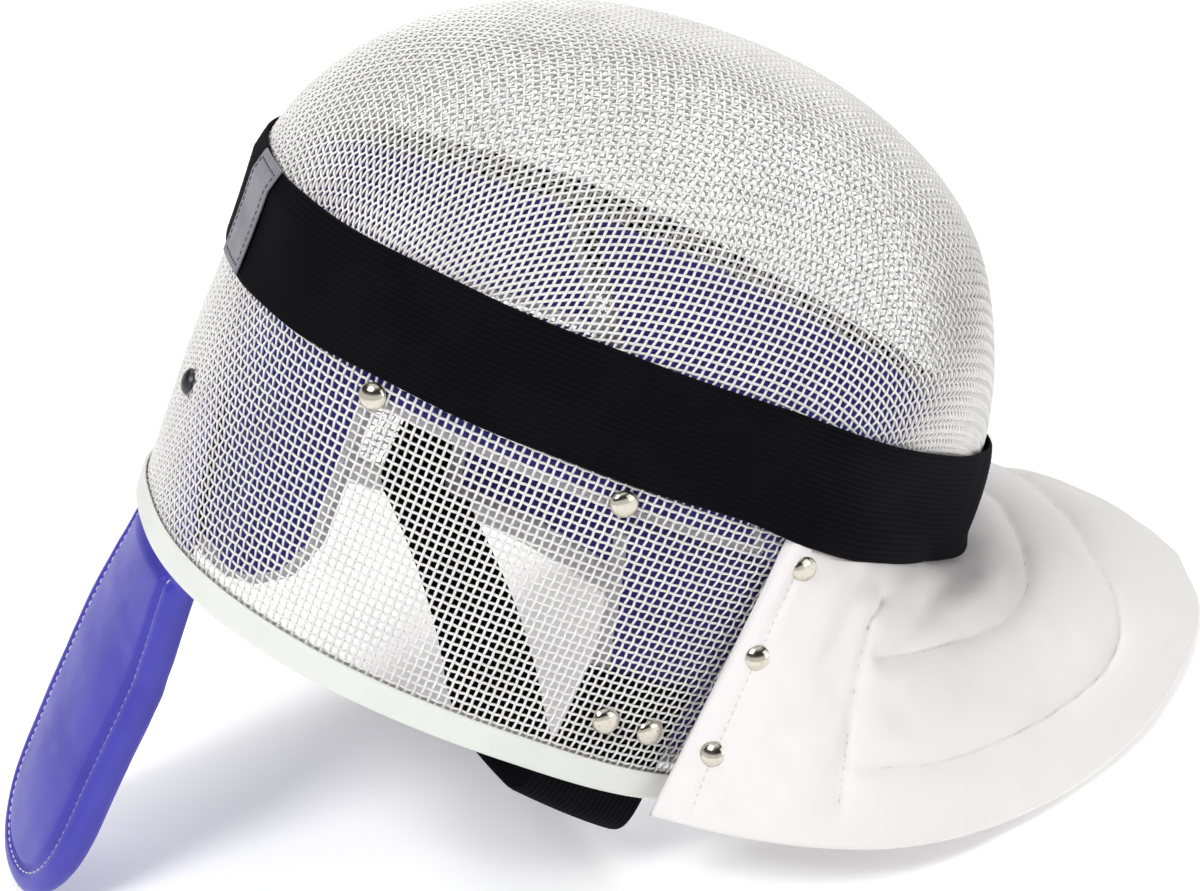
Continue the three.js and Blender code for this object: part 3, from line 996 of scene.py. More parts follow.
@dataclass(frozen=True)
class Moulded(Finish):
    """Smooth moulded edging with faint scuffs."""

    def paint(self, tree: Tree) -> None:
        """Broad unevenness, fine grain and rubbed patches."""
        broad = tree.cloud(45.0, 3.0)
        grain = tree.cloud(0.55, 3.0, 0.6)
        rubbed = tree.cloud(6.0, 6.0, 0.7).over(0.6, 0.74)
        colour = tree.blend(broad.over(0.35, 0.7) * 0.45, self.light, self.dark)
        tree.set(
            {
                "Base Color": tree.blend(rubbed * 0.25, colour, self.dark),
                "Roughness": self.roughness + (broad - 0.5) * 0.2 + rubbed * 0.15,
                "IOR": 1.46,
            }
        )
        tree.bump(grain * 0.6 + broad * 0.4, 0.12, 0.6)


@dataclass(frozen=True)
class Webbing(Finish):
    """Elastic webbing: ribs along its length with the cross threads between them."""

    rib: float = 2.0
    pick: float = 0.9
    sheen: float = 0.0
    gloss: float = 0.06

    def paint(self, tree: Tree) -> None:
        """Cross threads over the modelled ribs, with lint and rubbed ribs."""
        along, across, _ = tree.cloth()
        rib = (across * (2.0 * math.pi / self.rib)).wave() * 0.5 + 0.5
        lean = (across * (math.pi / self.rib)).wave() * 1.2
        pick = (along * (2.0 * math.pi / self.pick) + lean).wave() * 0.5 + 0.5
        lint = tree.cloud(0.7, 4.0, 0.7).over(0.62, 0.8)
        rubbed = tree.cloud(30.0, 4.0, 0.6).over(0.4, 0.75)
        weave = pick * 0.5 + rib * 0.5
        colour = tree.blend(weave * 0.6 + rubbed * 0.3, self.dark, self.light)
        tree.set(
            {
                "Base Color": tree.blend(lint * 0.12, colour, (0.09, 0.09, 0.1)),
                "Roughness": self.roughness + (weave - 0.5) * -0.15 + lint * 0.1,
                "Specular IOR Level": self.gloss,
                "Sheen Weight": self.sheen,
                "Sheen Roughness": 0.5,
            }
        )
        tree.bump(pick * (rib * 0.6 + 0.4) + lint * 0.2, 0.16, 0.8)


@dataclass(frozen=True)
class Cloth(Finish):
    """Woven cover cloth, over padding or lying flat."""

    thread: float = 0.7
    depth: float = 0.08
    sheen: float = 0.2
    soil: float = 0.3
    coarse: float = 22.0

    def paint(self, tree: Tree) -> None:
        """Plain weave in the cloth's own coordinates, with soft soiling and small creases."""
        along, across, _ = tree.cloth()
        turn = 2.0 * math.pi / self.thread
        drift = tree.cloud(9.0, 2.0) * 1.6
        weave = ((along * turn + drift).wave() * (across * turn + drift).wave()) * 0.5 + 0.5
        soil = tree.cloud(self.coarse, 5.0, 0.6).over(0.4, 0.72)
        crease = tree.cloud(3.2, 4.0, 0.6)
        fibre = tree.cloud(0.5, 2.0, 0.7)
        colour = tree.blend(soil * self.soil, self.light, self.dark)
        tree.set(
            {
                "Base Color": tree.blend((1.0 - weave) * 0.25, colour, self.dark),
                "Roughness": self.roughness + (fibre - 0.5) * 0.25 + soil * 0.08,
                "Sheen Weight": self.sheen,
                "Sheen Roughness": 0.45,
            }
        )
        tree.bump(weave * 0.45 + crease * 0.4 + fibre * 0.25, self.depth * 3.0, 0.8)


@dataclass(frozen=True)
class Brushed(Finish):
    """Brushed lining with a soft nap."""

    sheen: float = 0.8

    def paint(self, tree: Tree) -> None:
        """Matted nap in patches, with short fibres."""
        nap = tree.cloud(7.0, 5.0, 0.65).over(0.35, 0.7)
        fibre = tree.cloud(0.6, 5.0, 0.75)
        colour = tree.blend(nap * 0.6, self.light, self.dark)
        tree.set(
            {
                "Base Color": tree.blend(fibre.over(0.55, 0.75) * 0.4, colour, self.dark),
                "Roughness": self.roughness,
                "Sheen Weight": self.sheen,
                "Sheen Roughness": 0.6,
            }
        )
        tree.bump(fibre * 0.7 + nap * 0.3, 0.5, 0.7)


@dataclass(frozen=True)
class Thread(Finish):
    """Sewing thread with a visible twist."""

    def paint(self, tree: Tree) -> None:
        """Two plies that wind round each other."""
        along, across, _ = tree.cloth()
        ply = (along * (2.0 * math.pi / 0.55) + across * 3.0).wave() * 0.5 + 0.5
        tree.set(
            {
                "Base Color": tree.blend(ply, self.dark, self.light),
                "Roughness": self.roughness + ply * 0.1,
            }
        )
        tree.bump(ply, 0.08, 0.6)


@dataclass(frozen=True)
class Metal(Finish):
    """Polished or blackened metal with fine scratches."""

    metallic: float = 1.0

    def paint(self, tree: Tree) -> None:
        """Fine scratches, dull spots and tarnish in the low places."""
        scratch = tree.node(
            "ShaderNodeTexNoise",
            {},
            {
                "Vector": tree.node(
                    "ShaderNodeMapping",
                    {},
                    {"Vector": tree.place(), "Scale": (9000.0, 900.0, 2600.0)},
                ),
                "Scale": 1.0,
                "Detail": 2.0,
            },
        )
        tarnish = tree.cloud(1.6, 5.0, 0.65).over(0.5, 0.75)
        tree.set(
            {
                "Base Color": tree.blend(tarnish * 0.5, self.light, self.dark),
                "Metallic": self.metallic,
                "Roughness": self.roughness + (scratch - 0.5) * 0.18 + tarnish * 0.14,
            }
        )
        tree.bump(scratch, 0.02, 0.35)


@dataclass(frozen=True)
class Paper(Finish):
    """The studio floor: plain pale paper."""

    def paint(self, tree: Tree) -> None:
        """A very faint unevenness."""
        tooth = tree.cloud(2.0, 3.0)
        broad = tree.cloud(300.0, 2.0)
        tree.set(
            {
                "Base Color": tree.blend(broad, self.light, self.dark),
                "Roughness": self.roughness + (tooth - 0.5) * 0.1,
                "Emission Color": (1.0, 1.0, 1.0),
                "Emission Strength": 0.3,
            }
        )


class Look(Enum):
    """The finishes of the mask."""

    WIRE = Wire("tinned_wire", (0.90, 0.885, 0.86), (0.68, 0.665, 0.635), 0.42)
    TRIM = Moulded("moulded_edging", (0.77, 0.78, 0.74), (0.65, 0.66, 0.62), 0.42)
    ELASTIC = Webbing("ribbed_elastic", (0.0075, 0.007, 0.010), (0.0012, 0.0012, 0.002), 0.85)
    PATCH = Cloth(
        "grey_patch_cloth",
        light=(0.24, 0.235, 0.27),
        dark=(0.12, 0.115, 0.14),
        roughness=0.5,
        thread=0.8,
        depth=0.06,
        sheen=0.1,
        soil=0.5,
        coarse=14.0,
    )
    BIB = Cloth(
        "bib_cover_cloth",
        light=(0.89, 0.855, 0.86),
        dark=(0.82, 0.78, 0.785),
        roughness=0.68,
        thread=0.7,
        depth=0.05,
        sheen=0.1,
        soil=0.2,
        coarse=30.0,
    )
    TONGUE = Cloth(
        "blue_cover_cloth",
        light=(0.052, 0.045, 0.44),
        dark=(0.03, 0.024, 0.31),
        roughness=0.36,
        thread=0.5,
        depth=0.012,
        sheen=0.03,
        soil=0.45,
        coarse=25.0,
    )
    WHITE_THREAD = Thread("white_thread", (0.86, 0.85, 0.84), (0.55, 0.54, 0.55), 0.7)
    BLACK_THREAD = Thread("black_thread", (0.03, 0.03, 0.04), (0.005, 0.005, 0.008), 0.6)
    LINING = Brushed("navy_brushed_lining", (0.04, 0.036, 0.27), (0.014, 0.013, 0.12), 0.92, 0.1)
    # The binding is white tape; its light grey colours are painted shade from inside the mask.
    BINDING = Webbing(
        "binding_tape_painted_shade",
        light=(0.66, 0.66, 0.69),
        dark=(0.46, 0.46, 0.49),
        roughness=0.75,
        rib=1.1,
        pick=0.7,
        sheen=0.1,
        gloss=0.3,
    )
    NICKEL = Metal("polished_nickel", (0.66, 0.62, 0.54), (0.36, 0.33, 0.28), 0.13)
    BLACKENED = Metal("blackened_metal", (0.06, 0.06, 0.07), (0.015, 0.015, 0.02), 0.3, 0.8)
    FLOOR = Paper("studio_paper", (0.93, 0.93, 0.93), (0.90, 0.90, 0.90), 0.85)

    def material(self) -> bpy.types.Material:
        """The finish as a material, made once."""
        found = bpy.data.materials.get(self.value.name)
        return found or self.value.make()


# Sub-assemblies


@dataclass
class WireShell:
    """The woven wire: one net draped over the dome, and an upright net round the wall."""

    pitch: float = 3.1
    wire: float = 0.56
    wire_across: float = 0.52
    wire_sides: int = 4
    crimp: float = 0.52
    middle: float = -1.0
    dome_foot: float = 118.0
    wall_top: float = 123.0
    wall_foot: float = 0.8

    def build(self) -> None:
        """Makes the four sets of wires."""
        nets = self.dome_net()
        for name, wires in zip(("mesh_dome_long", "mesh_dome_across"), self.dome_wires(nets)):
            self.piece(name, wires)
        for name, wires in zip(("mesh_wall_upright", "mesh_wall_round"), self.wall_wires()):
            self.piece(name, wires)

    def piece(self, name: str, wires: Iterable[tuple[Array, Array, bool]]) -> None:
        """Makes one set of wires, each with its points, its normals and whether it is a ring."""
        skin = Skin()
        radii = np.array([self.wire, self.wire_across])
        for path, normals, closed in wires:
            vertices, quads = tube(path, normals, radii, closed, self.wire_sides)
            skin.add(vertices, quads)
        Piece(name, "mesh_shell", "wire_mesh").build(skin, Look.WIRE.material())

    def axis_line(self, around: float) -> Array:
        """Crossings at even steps from the dome's top down one side."""
        lean = np.linspace(0.0, 90.0, 400)
        rise = np.cos(np.radians(lean)) ** (2.0 / SHELL.dome_roundness)
        crown = SHELL.height + self.middle - SHELL.wall_top
        heights = np.concatenate([SHELL.wall_top + crown * rise, np.linspace(141.0, 95.0, 60)])
        line = SHELL.point(around, heights, self.middle)
        length = length_along(line)
        return read_along(line, length, np.arange(0.0, length[-1], self.pitch))

    def corner(self, first: Array, second: Array, guess: Array) -> Array:
        """Points of the shell one pitch from both neighbours.

        Args:
            first: neighbours on one wire.
            second: neighbours on the crossing wire.
            guess: where to start.

        Returns:
            The points, which are not numbers where no such point lies ahead.
        """
        points = guess.copy()
        for _ in range(14):
            miss = np.stack(
                [
                    np.sum((points - first) ** 2, axis=-1) - self.pitch**2,
                    np.sum((points - second) ** 2, axis=-1) - self.pitch**2,
                    SHELL.field(points, self.middle) * 100.0,
                ],
                axis=-1,
            )
            slope = np.stack(
                [
                    2.0 * (points - first),
                    2.0 * (points - second),
                    SHELL.gradient(points, self.middle) * 100.0,
                ],
                axis=1,
            )
            slope = slope + np.eye(3) * 1e-9
            step = np.linalg.solve(slope, miss[..., None])[..., 0]
            length = np.linalg.norm(step, axis=-1, keepdims=True)
            points = points - step * np.minimum(1.0, 1.5 / np.maximum(length, 1e-9))
        between = (first + second) / 2.0
        ahead = np.sum((points - between) * (guess - between), axis=-1)
        good = (np.abs(miss).max(axis=-1) < 0.05) & (ahead > 0.0)
        return np.where(good[:, None], points, np.nan)

    def quarter(self, long_line: Array, across_line: Array) -> Array:
        """The net's crossings between two of its middle wires."""
        count = (len(long_line), len(across_line))
        net = np.full((*count, 3), np.nan)
        net[:, 0], net[0, :] = long_line, across_line
        for total in range(2, sum(count) - 1):
            i = np.arange(max(1, total - count[1] + 1), min(count[0], total))
            j = total - i
            first, second, back = net[i - 1, j], net[i, j - 1], net[i - 1, j - 1]
            known = ~np.isnan(first + second + back).any(axis=-1)
            known &= np.minimum(first[:, 2], second[:, 2]) > self.dome_foot - 6.0
            if known.any():
                i, j = i[known], j[known]
                first, second, back = first[known], second[known], back[known]
                net[i, j] = self.corner(first, second, first + second - back)
        return net

    def dome_net(self) -> Array:
        """The whole net's crossings, as a grid from crown to chin and from near to far."""
        chin, crown, side = (self.axis_line(around) for around in (0.0, 180.0, 90.0))
        halves = []
        for line in (chin, crown):
            far = self.quarter(line, side)
            near = far[:, :0:-1] * np.array([1.0, -1.0, 1.0])
            halves.append(np.concatenate([near, far], axis=1))
        return np.concatenate([halves[1][:0:-1], halves[0]])

    def normals(self, points: Array) -> Array:
        """Directions straight out of the shell at its middle surface."""
        return unit(SHELL.gradient(points, self.middle))

    def dome_wires(self, net: Array) -> tuple[list, list]:
        """The wires along the mask and across it, cut under the head strap."""
        shown = ~np.isnan(net).any(axis=-1)
        shown &= np.nan_to_num(net[..., 2]) > self.dome_foot
        filled = np.where(shown[..., None], net, 0.0)
        normals = self.normals(filled)
        row, column = np.indices(shown.shape)
        over = np.where((row + column) % 2 == 0, 1.0, -1.0) * self.crimp
        sets: tuple[list, list] = ([], [])
        for which, sign in ((0, 1.0), (1, -1.0)):
            lines = range(net.shape[1 - which])
            for k in lines:
                at = (slice(None), k) if which == 0 else (k, slice(None))
                for run in self.runs(shown[at]):
                    away = normals[at][run]
                    path = filled[at][run] + away * (sign * over[at][run])[:, None]
                    sets[which].append((path, away, False))
        return sets

    @staticmethod
    def runs(shown: Array) -> Iterable[slice]:
        """The unbroken stretches of a wire that have three crossings or more."""
        edges = np.flatnonzero(np.diff(np.concatenate([[0], shown.astype(int), [0]])))
        for start, end in zip(edges[::2], edges[1::2]):
            if end - start >= 3:
                yield slice(start, end)

    def wall_wires(self) -> tuple[list, list]:
        """The upright wires and the rings below the head strap."""
        turns = np.linspace(0.0, 360.0, 3601)
        length = length_along(SHELL.point(turns, 60.0, self.middle))
        count = 2 * round(length[-1] / self.pitch / 2.0)
        around = np.interp(np.arange(count) * length[-1] / count, length, turns)
        rows = round((self.wall_top - self.wall_foot) / self.pitch)
        heights = np.linspace(self.wall_foot, self.wall_top, rows)
        net = SHELL.point(around[None, :], heights[:, None], self.middle)
        normals = self.normals(net)
        row, column = np.indices(net.shape[:2])
        over = np.where((row + column) % 2 == 0, 1.0, -1.0)[..., None] * self.crimp
        over[0] *= 0.4
        uprights = [
            (net[:, k] + normals[:, k] * over[:, k], normals[:, k], False) for k in range(count)
        ]
        rings = [(net[k] - normals[k] * over[k], normals[k], True) for k in range(rows)]
        return uprights, rings


@dataclass
class RimTrim:
    """The moulded edging that grips the rim in a U."""

    near: float = 0.25
    thickness: float = 1.5
    height: float = 9.7
    stations: int = 400

    def section(self) -> Array:
        """The U as a closed outline of distance outside the shell and height."""
        half = self.thickness / 2.0
        outer, inner = self.near + half, -SHELL.thickness - self.near - half
        end, foot, bend = self.height - half, -self.near - half, 1.4
        angles = np.radians(np.linspace(0.0, 90.0, 7))
        right = [
            (outer - bend + bend * math.cos(a), foot + bend - bend * math.sin(a)) for a in angles
        ]
        left = [
            (inner + bend - bend * math.sin(a), foot + bend - bend * math.cos(a)) for a in angles
        ]
        path = np.array([(outer, end), (outer, 4.0), *right, *left, (inner, 4.0), (inner, end)])
        path = resample(path, 34)
        along = unit(np.gradient(path, axis=0))
        away = np.stack([-along[:, 1], along[:, 0]], axis=-1) * half
        caps = []
        for centre, start in ((path[-1], 0.0), (path[0], 180.0)):
            lean = np.radians(np.linspace(start + 22.5, start + 157.5, 6))
            if start:
                lean = lean - np.pi
            caps.append(centre + half * np.stack([np.cos(lean), np.sin(lean)], axis=-1))
        return np.concatenate([path + away, caps[0][::-1], (path - away)[::-1], caps[1][::-1]])

    def build(self) -> None:
        """Makes the edging."""
        section = self.section()
        around = np.arange(self.stations) * (360.0 / self.stations)
        out, height = section[:, 0][:, None], section[:, 1][:, None]
        soft = waves(SHELL.point(around, 0.0), 60.0, 4) * 0.12
        grid = SHELL.point(around[None, :], np.maximum(0.0, height), out + soft[None, :])
        grid[..., 2] = height + soft[None, :]
        closed = np.concatenate([grid, grid[:1]])
        quads = grid_quads(len(closed), self.stations, ring=True)
        total = len(grid) * self.stations
        skin = Skin()
        skin.add(grid, np.where(quads >= total, quads - total, quads))
        Piece("rim_trim_edging", "rim_trim", "trim").build(skin, Look.TRIM.material())


@dataclass
class HeadStrap:
    """The ribbed elastic band round the mask, with its grey closing patch at the crown."""

    width: float = 43.0
    thickness: float = 1.5
    bib_cover: float = 1.0
    bib_stand: float = 6.8
    chin_stand_low: float = 14.5
    chin_stand_high: float = 1.0
    columns: int = 300
    rows: int = 89
    rib: float = 2.0
    rib_depth: float = 0.2
    patch_middle: float = 181.7
    patch_half_angle: float = 7.0
    patch_lean: float = 1.7
    patch_low: float = 106.5
    patch_high: float = 150.8
    patch_thickness: float = 1.2
    patch_cells: int = 44
    patch_seam: float = 3.2
    crown_radius: float = 130.0

    def face(self, around: Array, share: Array, out: Array) -> Array:
        """Points of the band; share runs from its lower edge to its upper one."""
        turn = SHELL.turn(around)
        angle = np.radians(around)
        uneven = 0.5 * np.sin(angle * 5.0 + 1.0) + 0.3 * np.sin(angle * 13.0)
        over = 1.0 - smoothstep(turn, 54.0, 64.0)
        low = STRAP_EDGES.read("low", turn) + uneven - self.bib_cover * over
        high = STRAP_EDGES.read("high", turn) + uneven * 0.7
        height = mix(low, high, share)
        stand = GAP + SHELL.near(around, 0.0) * mix(
            self.chin_stand_low, self.chin_stand_high, share
        )
        room = smoothstep(turn, 8.0, 22.0) * (1.0 - smoothstep(turn, 64.0, 74.0))
        stand = np.maximum(stand, GAP + self.bib_stand * room * (1.0 - smoothstep(share, 0.0, 0.5)))
        return SHELL.point(around, height, stand + out)

    def curl(self, around: Array, share: Array) -> Array:
        """How far the edges curl outward: low at the chin, high on its far side."""
        signed = (around + 180.0) % 360.0 - 180.0
        low_edge = bell(signed + 6.0, 16.0) * smoothstep(0.2 - share, 0.0, 0.2) * 3.4
        high_edge = bell(signed - 24.0, 16.0) * smoothstep(share, 0.84, 1.0) * 2.6
        slack = 0.35 * np.sin(np.radians(around) * 9.0) * np.sin(share * 5.0)
        return low_edge + high_edge + slack * 0.5

    def build(self) -> None:
        """Makes the band and its overlap, then the patch."""
        around = np.arange(self.columns) * (360.0 / self.columns)
        share = eased_ends(self.rows, 0.35)[:, None]
        around = np.broadcast_to(around[None, :], (self.rows, self.columns))
        share = np.broadcast_to(share, around.shape)
        across = share * self.width
        ribs = (np.cos(across * 2.0 * np.pi / self.rib) - 1.0) * 0.5 * self.rib_depth
        half = self.thickness / 2.0
        edge = rounding(np.minimum(share, 1.0 - share) * self.width, 1.4)
        lift = self.curl(around, share)
        signed = (around + 180.0) % 360.0 - 180.0
        overlap = 0.7 * smoothstep(signed, -24.4, -23.8) * (1.0 - smoothstep(signed, 10.0, 40.0))
        middle = self.face(around, share, lift + half + overlap * 0.5)
        outward = unit(self.face(around, share, lift + half + 1.0) - middle)
        length = length_along(middle[self.rows // 2])
        marks = np.stack([np.broadcast_to(length, around.shape), across, 0.0 * across], axis=-1)
        skin = Skin()
        top = (half + ribs) * edge
        vertices, quads = pillow(middle, top, half * edge, ring=True, normals=outward)
        skin.add(vertices, quads, both_faces(marks, ring=True))
        Piece("head_strap_elastic", "head_strap", "elastic").build(skin, Look.ELASTIC.material())
        self.build_patch()

    def patch_around(self, across: Array, rise: Array) -> Array:
        """The angles of places on the patch, which is sewn on a little askew.

        Args:
            across: -1 at its far edge and 1 at its near one.
            rise: 0 at its lower edge and 1 at its upper one.

        Returns:
            The angles from the chin, in degrees.
        """
        lean = self.patch_lean * (2.0 * rise - 1.0)
        return self.patch_middle + lean + self.patch_half_angle * across

    def build_patch(self) -> None:
        """Makes the closing patch and the black stitching round it."""
        low = self.patch_low
        inside = 2.0 * GAP + self.thickness
        v = eased_ends(self.patch_cells)
        u = v * 2.0 - 1.0
        around = self.patch_around(u[None, :], v[:, None])
        height = mix(low, self.patch_high, v[:, None]) + 0.0 * u[None, :]
        half = self.patch_thickness / 2.0
        middle = SHELL.point(around, height, inside + half)
        away = unit(SHELL.point(around, height, inside + half + 1.0) - middle)
        side = self.patch_half_angle * np.radians(1.0) * self.crown_radius
        across = np.minimum(1.0 - np.abs(u)[None, :], 1.0) * side
        edge = np.minimum(across, np.minimum(v, 1.0 - v)[:, None] * (self.patch_high - low))
        lift = half * rounding(edge, 1.6) - 0.28 * bell(edge - self.patch_seam, 0.8)
        lift = lift + 0.12 * bell(edge - 1.4, 1.0)
        marks = np.stack([around * 2.3, height, 0.0 * height], axis=-1)
        skin = Skin()
        vertices, quads = pillow(middle, lift, half * rounding(edge, 1.0), normals=away)
        skin.add(vertices, quads, both_faces(marks))
        piece = Piece("strap_patch_cloth", "strap_patch", "patch")
        piece.build(skin, Look.PATCH.material())
        inset_u, inset_v = 1.0 - self.patch_seam / side, self.patch_seam / (self.patch_high - low)
        corners = [(-1, 0), (1, 0), (1, 1), (-1, 1), (-1, 0)]
        path = []
        for (u0, v0), (u1, v1) in zip(corners[:-1], corners[1:]):
            t = np.linspace(0.0, 1.0, 60, endpoint=False)
            path.append(np.stack([mix(u0, u1, t), mix(v0, v1, t)], axis=-1))
        line = np.concatenate(path)
        rise = inset_v + line[:, 1] * (1.0 - 2.0 * inset_v)
        angle = self.patch_around(line[:, 0] * inset_u, rise)
        height = mix(low, self.patch_high, rise)
        out = inside + 2.0 * half - 0.2
        seam = SHELL.point(angle, height, out)
        away = unit(SHELL.point(angle, height, out + 1.0) - seam)
        stitch = stitches(seam, away, 2.1, 2.8, 0.36)
        Piece("strap_patch_stitching", "strap_patch", "patch").build(
            stitch, Look.BLACK_THREAD.material()
        )


Line = tuple[tuple[float, float], ...]


@dataclass
class Bib:
    """The quilted bib: padded cloth with sewn channels, soft folds and stitched seams.

    The lines run through pairs of around, in degrees from the chin, and along, from 0 at the
    strap to 1 at the hem.
    """

    columns: int = 240
    rows: int = 120
    seam_depth: float = 2.6
    puff_reach: float = 13.0
    flange: float = 0.033
    flange_from: float = 16.0
    flange_to: float = 34.0
    pucker: float = 0.04
    cloth_run: float = 150.0
    seams: tuple[Line, ...] = (
        ((-50.5, 0.353), (-37.5, 0.35), (-27, 0.397), (-18, 0.397), (-10, 0.363), (0, 0.352),
         (10, 0.363), (18, 0.397), (27, 0.397), (37.5, 0.35), (50.5, 0.353)),
        ((-53, 0.717), (-46, 0.733), (-38, 0.73), (-30, 0.745), (-23, 0.767), (-18, 0.755),
         (-14, 0.69), (-9, 0.59), (0, 0.53), (9, 0.59), (14, 0.69), (18, 0.755), (23, 0.767),
         (30, 0.745), (38, 0.73), (46, 0.733), (53, 0.717)),
        ((-47.5, 0.143), (-51.2, 0.223), (-53, 0.38), (-53.8, 0.517), (-54, 0.653), (-54, 0.87)),
        ((47.5, 0.143), (51.2, 0.223), (53, 0.38), (53.8, 0.517), (54, 0.653), (54, 0.87)),
    )  # fmt: skip
    hem_seams: tuple[Line, ...] = (
        ((-65, 0.03), (-65, 0.35), (-65.2, 0.75), (-65, 0.98)),
        ((65, 0.03), (65, 0.35), (65.2, 0.75), (65, 0.98)),
    )
    folds: tuple[Line, ...] = (
        ((-24.0, 0.15), (-35, 0.167), (-44.2, 0.27), (-48.8, 0.333)),
        ((-14, 0.337), (-23.8, 0.357), (-29.5, 0.357)),
        ((-43, 0.41), (-48.5, 0.537)),
        ((-53.5, 0.25), (-55.8, 0.473), (-60.2, 0.637)),
        ((-49.5, 0.003), (-54.5, 0.147), (-59.2, 0.503)),
        ((-54.2, 0.627), (-55.5, 0.867)),
        ((20, 0.12), (34, 0.18), (45, 0.29)),
        ((45, 0.43), (50, 0.56)),
        ((54, 0.23), (57, 0.45), (60, 0.66)),
        ((50, 0.02), (56, 0.17), (60, 0.48)),
        ((6, 0.62), (3, 0.78), (2, 0.93)),
        ((-34, 0.79), (-35.5, 0.93)),
        ((-22, 0.5), (-26, 0.66)),
    )
    fold_depths: tuple[float, ...] = (
        1.5, 1.2, 1.9, 2.3, 2.0, 2.0, 1.5, 1.7, 2.0, 1.8, 1.1, 1.0, 1.3
    )  # fmt: skip

    def course(self, line: Line, step: float = 0.8) -> Array:
        """The closely spaced around and along of a line, at even steps on the surface."""
        knots = np.array(line, float)
        rough = resample(knots * np.array([1.0, 100.0]), 300) / np.array([1.0, 100.0])
        for _ in range(6):
            padded = np.vstack([rough[:1], rough, rough[-1:]])
            rough = (padded[:-2] + 2.0 * padded[1:-1] + padded[2:]) / 4.0
        points = BIB.point(rough[:, 0], rough[:, 1])
        length = length_along(points)
        return read_along(rough, length, np.arange(0.0, length[-1], step))

    def normals(self, around: Array, along: Array) -> Array:
        """Directions away from the padding, on its outer side."""
        across = BIB.point(around + 0.5, along) - BIB.point(around - 0.5, along)
        down = BIB.point(around, along + 0.01) - BIB.point(around, along - 0.01)
        away = unit(np.cross(across, down))
        return away * np.where(away[..., 2:] < 0.0, -1.0, 1.0)

    def relief(self, points: Array, around: Array, along: Array) -> Array:
        """How far the outer face stands above the middle surface."""
        seams = np.concatenate([self.place(line) for line in self.seams])
        hems = np.concatenate([self.place(line) for line in self.hem_seams])
        to_seam = distance_to(points, seams)
        to_hem = distance_to(points, hems)
        puff = mix(1.0 - self.seam_depth / 3.0, 1.5, rounding(to_seam, self.puff_reach))
        half = BIB.half_depth(along)
        lift = half * puff - 0.9 * bell(to_hem, 1.6) + 0.25 * bell(to_hem - 3.0, 2.0)
        for line, depth in zip(self.folds, self.fold_depths):
            path = self.place(line)
            away = distance_to(points, path)
            ends = np.minimum(
                np.linalg.norm(points - path[0], axis=-1),
                np.linalg.norm(points - path[-1], axis=-1),
            )
            fade = smoothstep(ends, 0.0, 26.0)
            valley = bell(away, 4.4) - 0.5 * bell(away - 10.0, 5.5)
            lift = lift - depth * valley * (0.25 + 0.75 * fade)
        lift = lift + waves(points, 34.0, 11) * 0.42 + waves(points, 14.0, 12) * 0.14
        pucker = np.sin(around * 2.9 + 2.0 * np.sin(along * 9.0)) * bell(to_seam - 3.0, 3.5)
        return lift + self.pucker * pucker

    def place(self, line: Line) -> Array:
        """The points of a line on the middle surface."""
        course = self.course(line)
        return BIB.point(course[:, 0], course[:, 1])

    def surface(self) -> tuple[Array, Array, Array, Array]:
        """The grid's around and along, its middle points and its outer side's normals."""
        around = (eased_ends(self.columns, 0.3) * 2.0 - 1.0)[None, :] * BIB.half_angle
        along = eased_ends(self.rows, 0.3)[:, None]
        around, along = np.broadcast_arrays(around, along)
        sides = smoothstep(np.abs(around), self.flange_from, self.flange_to)
        tucked = self.flange * sides * (1.0 - along) ** 3
        along = along - tucked
        return around, along, BIB.point(around, along), self.normals(around, along)

    def build(self) -> None:
        """Makes the padded cloth, then the stitches in its seams."""
        around, along, middle, away = self.surface()
        half = BIB.half_depth(along)
        outline = np.concatenate([middle[0], middle[-1], middle[:, 0], middle[:, -1]])
        edge = rounding(distance_to(middle, outline), 3.4)
        lift = np.maximum(self.relief(middle, around, along), 0.5) * edge
        length = np.broadcast_to(length_along(BIB.point(around, 0.5)[0]), around.shape)
        marks = np.stack([length, along * self.cloth_run, 0.0 * along], axis=-1)
        skin = Skin()
        drop = half * edge * (1.0 + 0.08 * waves(middle, 20.0, 21))
        vertices, quads = pillow(middle, lift, drop, normals=away)
        skin.add(vertices, quads, both_faces(marks))
        piece = Piece("bib_padding", "bib", "bib").build(skin, Look.BIB.material())
        self.build_stitches()

    def build_stitches(self) -> None:
        """Makes one row of white stitches in every seam."""
        skin = Skin()
        for line in (*self.seams, *self.hem_seams):
            course = self.course(line, 0.5)
            middle = BIB.point(course[:, 0], course[:, 1])
            away = self.normals(course[:, 0], course[:, 1])
            lift = self.relief(middle, course[:, 0], course[:, 1]) + 0.05
            skin.join(stitches(middle + away * lift[:, None], away, 2.3, 3.3, 0.3))
        Piece("bib_stitching", "bib", "bib").build(skin, Look.WHITE_THREAD.material())


